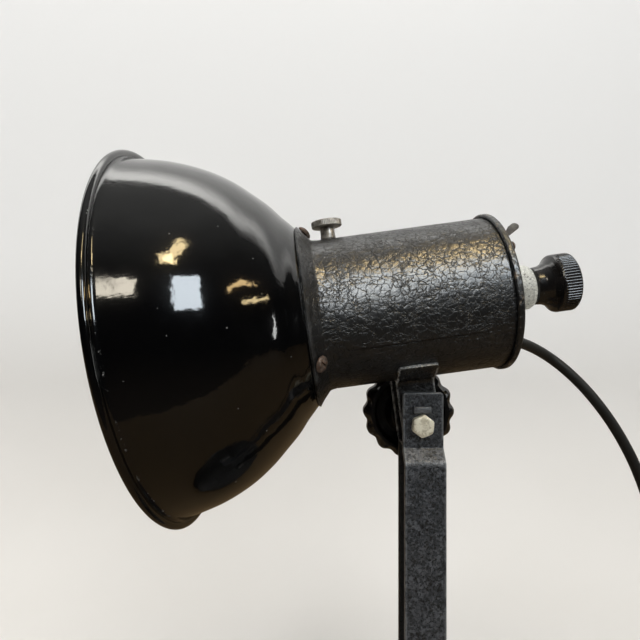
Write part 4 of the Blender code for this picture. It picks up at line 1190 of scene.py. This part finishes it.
GLOBE_X, GLOBE_R = -40, 30
globe = [(GLOBE_X - GLOBE_R * cos(radians(t)), GLOBE_R * sin(radians(t)))
         for t in np.linspace(0, 118, 34)]
globe[0] = (GLOBE_X - GLOBE_R, 0)
neck = catmull([globe[-1], (-18.5, 20.4), (-8.0, 15.0), (-1.0, 12.5), (7.0, 11.9), (19.0, 11.9)], 6)
glass_out = globe + neck[1:]
glass_tip = (GLOBE_X - GLOBE_R + 1, 0)
glass_in = [p for p in offset(glass_out, -1.0)[1:] if p[1] > 1e-3]
bulb = lathe("opal_bulb", glass_out + glass_in[::-1] + [glass_tip], 128, [OPAL], LAMP, sharp=60)
place(bulb, "lamp_carriage", "bulb_glass")

# CAD pieces kept as they are, with a material and softened edges
for node, mat in (("holder_post_1", STEEL), ("holder_post_2", STEEL), ("terminal_screw_1", BRASS),
                  ("terminal_screw_2", BRASS), ("inner_cable", RUBBER)):
    obj = frame["nodes"][node]
    obj.data.materials.clear()
    obj.data.materials.append(mat)
    if node != "inner_cable":
        bevel = obj.modifiers.new("edge", "BEVEL")
        bevel.width = 0.00025
        bevel.segments = 2
        bevel.limit_method = "ANGLE"
        bevel.angle_limit = radians(40)

# ------------------------------------------------------------------ mains cord, world mm


def bezier(p0, p1, p2, p3, steps):
    return [p0 * (1 - t) ** 3 + p1 * 3 * t * (1 - t) ** 2 + p2 * 3 * t * t * (1 - t) + p3 * t ** 3
            for t in (i / steps for i in range(steps + 1))]


def smooth(t):
    t = min(1.0, max(0.0, t))
    return t * t * (3 - 2 * t)


exit_at = LAMP @ Vector((CAP_X * MM, 0, CORD_Z * MM)) * 1000
side_at = Vector((165, 0, PIVOT_H - 110))
entry = Vector((91, 0, BASE_CORD_Z))
route = [exit_at + AXIS * 0.5]
route += bezier(exit_at + AXIS * 3, exit_at + AXIS * 36, side_at + Vector((0, 0, 98)), side_at, 60)
route += bezier(side_at, side_at - Vector((0, 0, 72)), entry + Vector((52, 0, 0)),
                entry + Vector((7, 0, 0)), 50)[1:]
route.append(entry)

# The cord swings out behind the rear knob, so that it clears it when the head is tipped back.
# It is spread from the camera as it goes back, which keeps its outline in view.
SWING = 27.0
EYE = Vector((EYE_X, EYE_Y, PIVOT_H + EYE_RISE))
lengths = [0.0]
for before, after in zip(route, route[1:]):
    lengths.append(lengths[-1] + (after - before).length)
total = lengths[-1]
bent, bend_from = [], None
for p, length in zip(route, lengths):
    back = SWING * smooth((length - 3) / 38) * smooth((total - 14 - length) / 90)
    spread = 1 + back / (p.y - EYE.y) * smooth(p.z / 140)
    bent.append(Vector((EYE.x + (p.x - EYE.x) * spread, p.y + back,
                        EYE.z + (p.z - EYE.z) * spread)))
    if bend_from is None and length > 38:
        bend_from = bent[-1]
mains = cord("mains_cord", bent, 3.75, 28, [RUBBER])
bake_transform(mains)
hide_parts("mains_cable")

# ------------------------------------------------------------------ base

base_profile = rounded([(2.8, 0), (2.8, 93.0, 0.8), (4.4, BASE_R, 1.2), (13.2, BASE_R, 1.6),
                        (16.6, 93.4, 3.0), (18.0, 89.6, 3.0), (18.0, 0)], 7)
base = lathe("round_base", dense(base_profile, 5.0), 256, [PAINT_BASE], WORLD, axis="Z", sharp=50)
drill(base, 5.2, 30, (BASE_R, 0, BASE_CORD_Z), (1, 0, 0), WORLD)
for x, y in FOOT_HOLES:
    drill(base, 2.8, 24, (x, y, 20), (0, 0, 1), WORLD, 32)
place(base, "stand", "base_plate")


def pad_shape(along, radius, angles):
    """Uneven cut edge."""
    if radius <= 80:
        return radius
    return radius + (0.25 * np.sin(37 * angles) + 0.15 * np.sin(83 * angles + along))


pad_profile = rounded([(0, 0), (0, 91.0, 0.5), (2.5, 91.0, 0.6), (2.5, 0)], 4)
pad = lathe("felt_pad", dense(pad_profile, 6.0), 192, [FELT], WORLD, axis="Z", shape=pad_shape)
place(pad, "stand", "base_felt")
grommet = lathe("base_cord_grommet", rounded([(-6, 4.05), (2.0, 4.05, 0.4), (2.2, 6.0, 0.6),
                                              (0.5, 6.9, 0.5), (0.5, 4.9), (-6, 4.9)], 4),
                56, [GROMMET], shift(WORLD, (BASE_R, 0, BASE_CORD_Z)), closed=True)
place(grommet, "stand", "base_grommet")

BOLT_Z0, BOLT_Z1 = 22.6, 26.1  # bottom and top of the foot bolt heads
foot_bolt = [(9.6, 0), (9.6, 2.1), (10.1, 2.5), (BOLT_Z0, 2.5), (BOLT_Z0, 3.9)]
foot_bolt += [(BOLT_Z0 + 0.1 * k, HEX) for k in range(4)]
foot_bolt += [(BOLT_Z1 - 1.0 + 0.11 * k, HEX) for k in range(10)]
foot_bolt += [(BOLT_Z1, 3.0), (BOLT_Z1 - 0.25, 0)]
for number, (x, y) in enumerate(FOOT_HOLES, 1):
    screw = lathe(f"foot_bolt_{number}", foot_bolt, 120, [STEEL], shift(WORLD, (x, y, 0)),
                  axis="Z", sharp=26, shape=hexagon(4.0, 4.5, (BOLT_Z1, 3.6, 1.6),
                                                    (BOLT_Z0, 4.1, 1.6), twist=0.3 * number))
    place(screw, "stand", f"foot_screw_{number}")

# ------------------------------------------------------------------ backdrop and camera


def pale_surface():
    """Pale surface with painted reflections, dark brown low down and brighter than white high up in
    gloss, and clear from behind.
    """
    mat = Mat("pale_surface")
    table = mat.mix(mat.noise(scale=6.0), (0.71, 0.69, 0.655), to=(0.75, 0.73, 0.70))
    z = mat.xyz()[2]
    colour = mat.mix(mat.step(z, lo=0.05, hi=0.45), table, to=(0.90, 0.90, 0.893))
    path = mat.node("ShaderNodeLightPath")
    glossy = path.outputs["Is Glossy Ray"]
    # painted reflection: the low table, seen in gloss, dark brown
    colour = mat.mix(glossy, colour, to=(0.110, 0.068, 0.026), share=mat.step(z, lo=0.62, hi=0.10))
    # painted reflection: the wall high up, seen in gloss, brighter than white
    colour = mat.mix(glossy, colour, to=(3.0, 3.0, 2.94), share=mat.step(z, lo=1.0, hi=1.6))
    mat.done(colour=colour, rough=0.75, metal=0.0,
             normal=mat.bump(mat.noise(scale=900), distance=0.0001, strength=0.5))
    backfacing = mat.node("ShaderNodeNewGeometry").outputs["Backfacing"]
    see_through = mat.node("ShaderNodeMixShader")
    clear = mat.node("ShaderNodeBsdfTransparent")
    mat.set(see_through.inputs[0], mat.mul(mat.flip(backfacing), path.outputs["Is Camera Ray"]))
    mat.set(see_through.inputs[1], mat.bsdf.outputs[0])
    mat.set(see_through.inputs[2], clear.outputs[0])
    mat.set(mat.tree.nodes["Material Output"].inputs[0], see_through.outputs[0])
    return mat.material


def backdrop():
    """Table that sweeps up into a wall, in metres along X and as a (Y, Z) profile."""
    profile = [(-0.42, 0.0), (0.20, 0.0)] + arc(0.20, 0.22, 0.22, -90, 0, 16)[1:]
    profile += [(0.42, 1.0), (0.42, 2.6)]
    xs = (-2.2, -1.2, -0.6, 0.0, 0.6, 1.2, 2.2)
    verts = [(x * 1000, y * 1000, z * 1000) for x in xs for y, z in profile]
    row = len(profile)
    faces = [(i * row + j, i * row + j + 1, (i + 1) * row + j + 1, (i + 1) * row + j)
             for i in range(len(xs) - 1) for j in range(row - 1)]
    return make_object("backdrop", verts, faces, [pale_surface()], sharp=80, recalc=False)


backdrop()

cam_data = bpy.data.cameras.new("camera")
cam_data.lens = 27.06
cam_data.sensor_width = 36
cam_data.clip_start = 0.01
camera = link(bpy.data.objects.new("camera", cam_data))
camera.location = (EYE_X * MM, EYE_Y * MM, PIVOT.z + EYE_RISE * MM)
camera.rotation_euler = (pi / 2, 0, 0)
SCENE.camera = camera

# ------------------------------------------------------------------ lights

LAMP_MID = LAMP @ Vector((0.02, 0, 0))


def panel(name, azimuth, elevation, distance, width, height, power, colour, mirrored, roll=0.0):
    """Area light facing the lamp, azimuth in degrees from +Y towards +X; sizes in metres.

    A mirrored panel shows only in gloss; any other only lights diffusely.
    """
    data = bpy.data.lights.new(name, "AREA")
    data.shape = "RECTANGLE"
    data.size = width
    data.size_y = height
    data.energy = power
    data.color = colour
    obj = link(bpy.data.objects.new(name, data))
    az, el = radians(azimuth), radians(elevation)
    way = Vector((sin(az) * cos(el), cos(az) * cos(el), sin(el)))
    obj.location = LAMP_MID + way * distance
    spin = Matrix.Rotation(radians(roll), 3, "Z").to_quaternion()
    obj.rotation_euler = (way.to_track_quat("Z", "Y") @ spin).to_euler()
    obj.visible_glossy = mirrored
    obj.visible_diffuse = not mirrored
    obj.visible_camera = False
    return obj


def mirror_panel(name, azimuth, elevation, half_az, half_el, radiance, colour, roll=0.0):
    """A mirrored panel by its half angles in degrees and its radiance, power / (pi * area)."""
    distance = 2.2
    width = 2 * distance * tan(radians(half_az))
    height = 2 * distance * tan(radians(half_el))
    return panel(name, azimuth, elevation, distance, width, height,
                 radiance * width * height * pi, colour, mirrored=True, roll=roll)


COOL, WARM, GOLD, BEIGE = (0.84, 0.93, 1.0), (1.0, 0.70, 0.33), (1.0, 0.78, 0.42), (1.0, 0.92, 0.76)
# name, azimuth, elevation, half width, half height, radiance, colour, roll
for row in (("window", 147, 27.5, 8.2, 9.6, 15.0, COOL),
            ("beige", 184, 29.5, 3.9, 4.6, 14.0, BEIGE),
            ("warm_long_a", 153, 53.5, 2.3, 8.2, 17.0, GOLD, -32),
            ("warm_long_b", 160, 48.0, 3.3, 2.8, 17.0, GOLD, 6),
            ("warm_small_a", 111, 29.5, 7.2, 1.4, 12.0, WARM, 11),
            ("warm_small_b", 103.5, 21.0, 4.6, 1.0, 13.0, GOLD, 8),
            ("strip", 97, 4.5, 1.2, 6.5, 9.0, (0.98, 1.0, 0.98))):
    mirror_panel(*row)
# the same columns, for panels that only the housing and its cap pick up
painted = bpy.data.collections.new("wrinkled_pieces")
for obj in (housing, cap):
    painted.objects.link(obj)
for row in (("sky_band", 172, 41, 18, 7.6, 15.0, (0.86, 0.94, 1.0)),
            ("sky_left", 179, 22, 6, 12, 17.0, (0.92, 0.97, 1.0)),
            ("gold_band", 153, 62, 7.5, 4.0, 40.0, (1.0, 0.72, 0.32))):
    mirror_panel(*row).light_linking.receiver_collection = painted
# broad light without reflections: name, azimuth, elevation, distance, width, height, power, colour
for row in (("fill_top", 180, 74, 1.7, 1.6, 1.3, 23.0, (1.0, 0.99, 0.97)),
            ("fill_front", 150, 28, 2.0, 1.8, 1.4, 16.0, (0.97, 0.985, 1.0)),
            ("fill_left", -100, 30, 2.0, 1.4, 1.4, 15.0, (1.0, 0.99, 0.98))):
    panel(*row, mirrored=False)

# ------------------------------------------------------------------ world and output

# elevation in degrees, colour
SKY = ((-90, (0.10, 0.085, 0.07)), (-25, (0.05, 0.042, 0.034)), (-4, (0.014, 0.014, 0.014)),
       (18, (0.020, 0.020, 0.021)), (44, (0.10, 0.10, 0.095)), (62, (0.26, 0.26, 0.25)),
       (74, (0.40, 0.40, 0.385)))
world = bpy.data.worlds.new("room")
world.use_nodes = True
SCENE.world = world
sky = Nodes(world.node_tree, "Generated")
height = sky.linear(sky.xyz()[2], times=0.5, plus=0.5)
room = sky.ramp(height, [(0.5 + 0.5 * sin(radians(el)), colour) for el, colour in SKY])
seen = sky.node("ShaderNodeLightPath").outputs["Is Camera Ray"]
background = world.node_tree.nodes["Background"]
sky.set(background.inputs[0], sky.mix(seen, room, to=(0.76, 0.76, 0.75)))
sky.set(background.inputs[1], 1.0)

SCENE.view_settings.view_transform = "Standard"
SCENE.view_settings.look = "None"
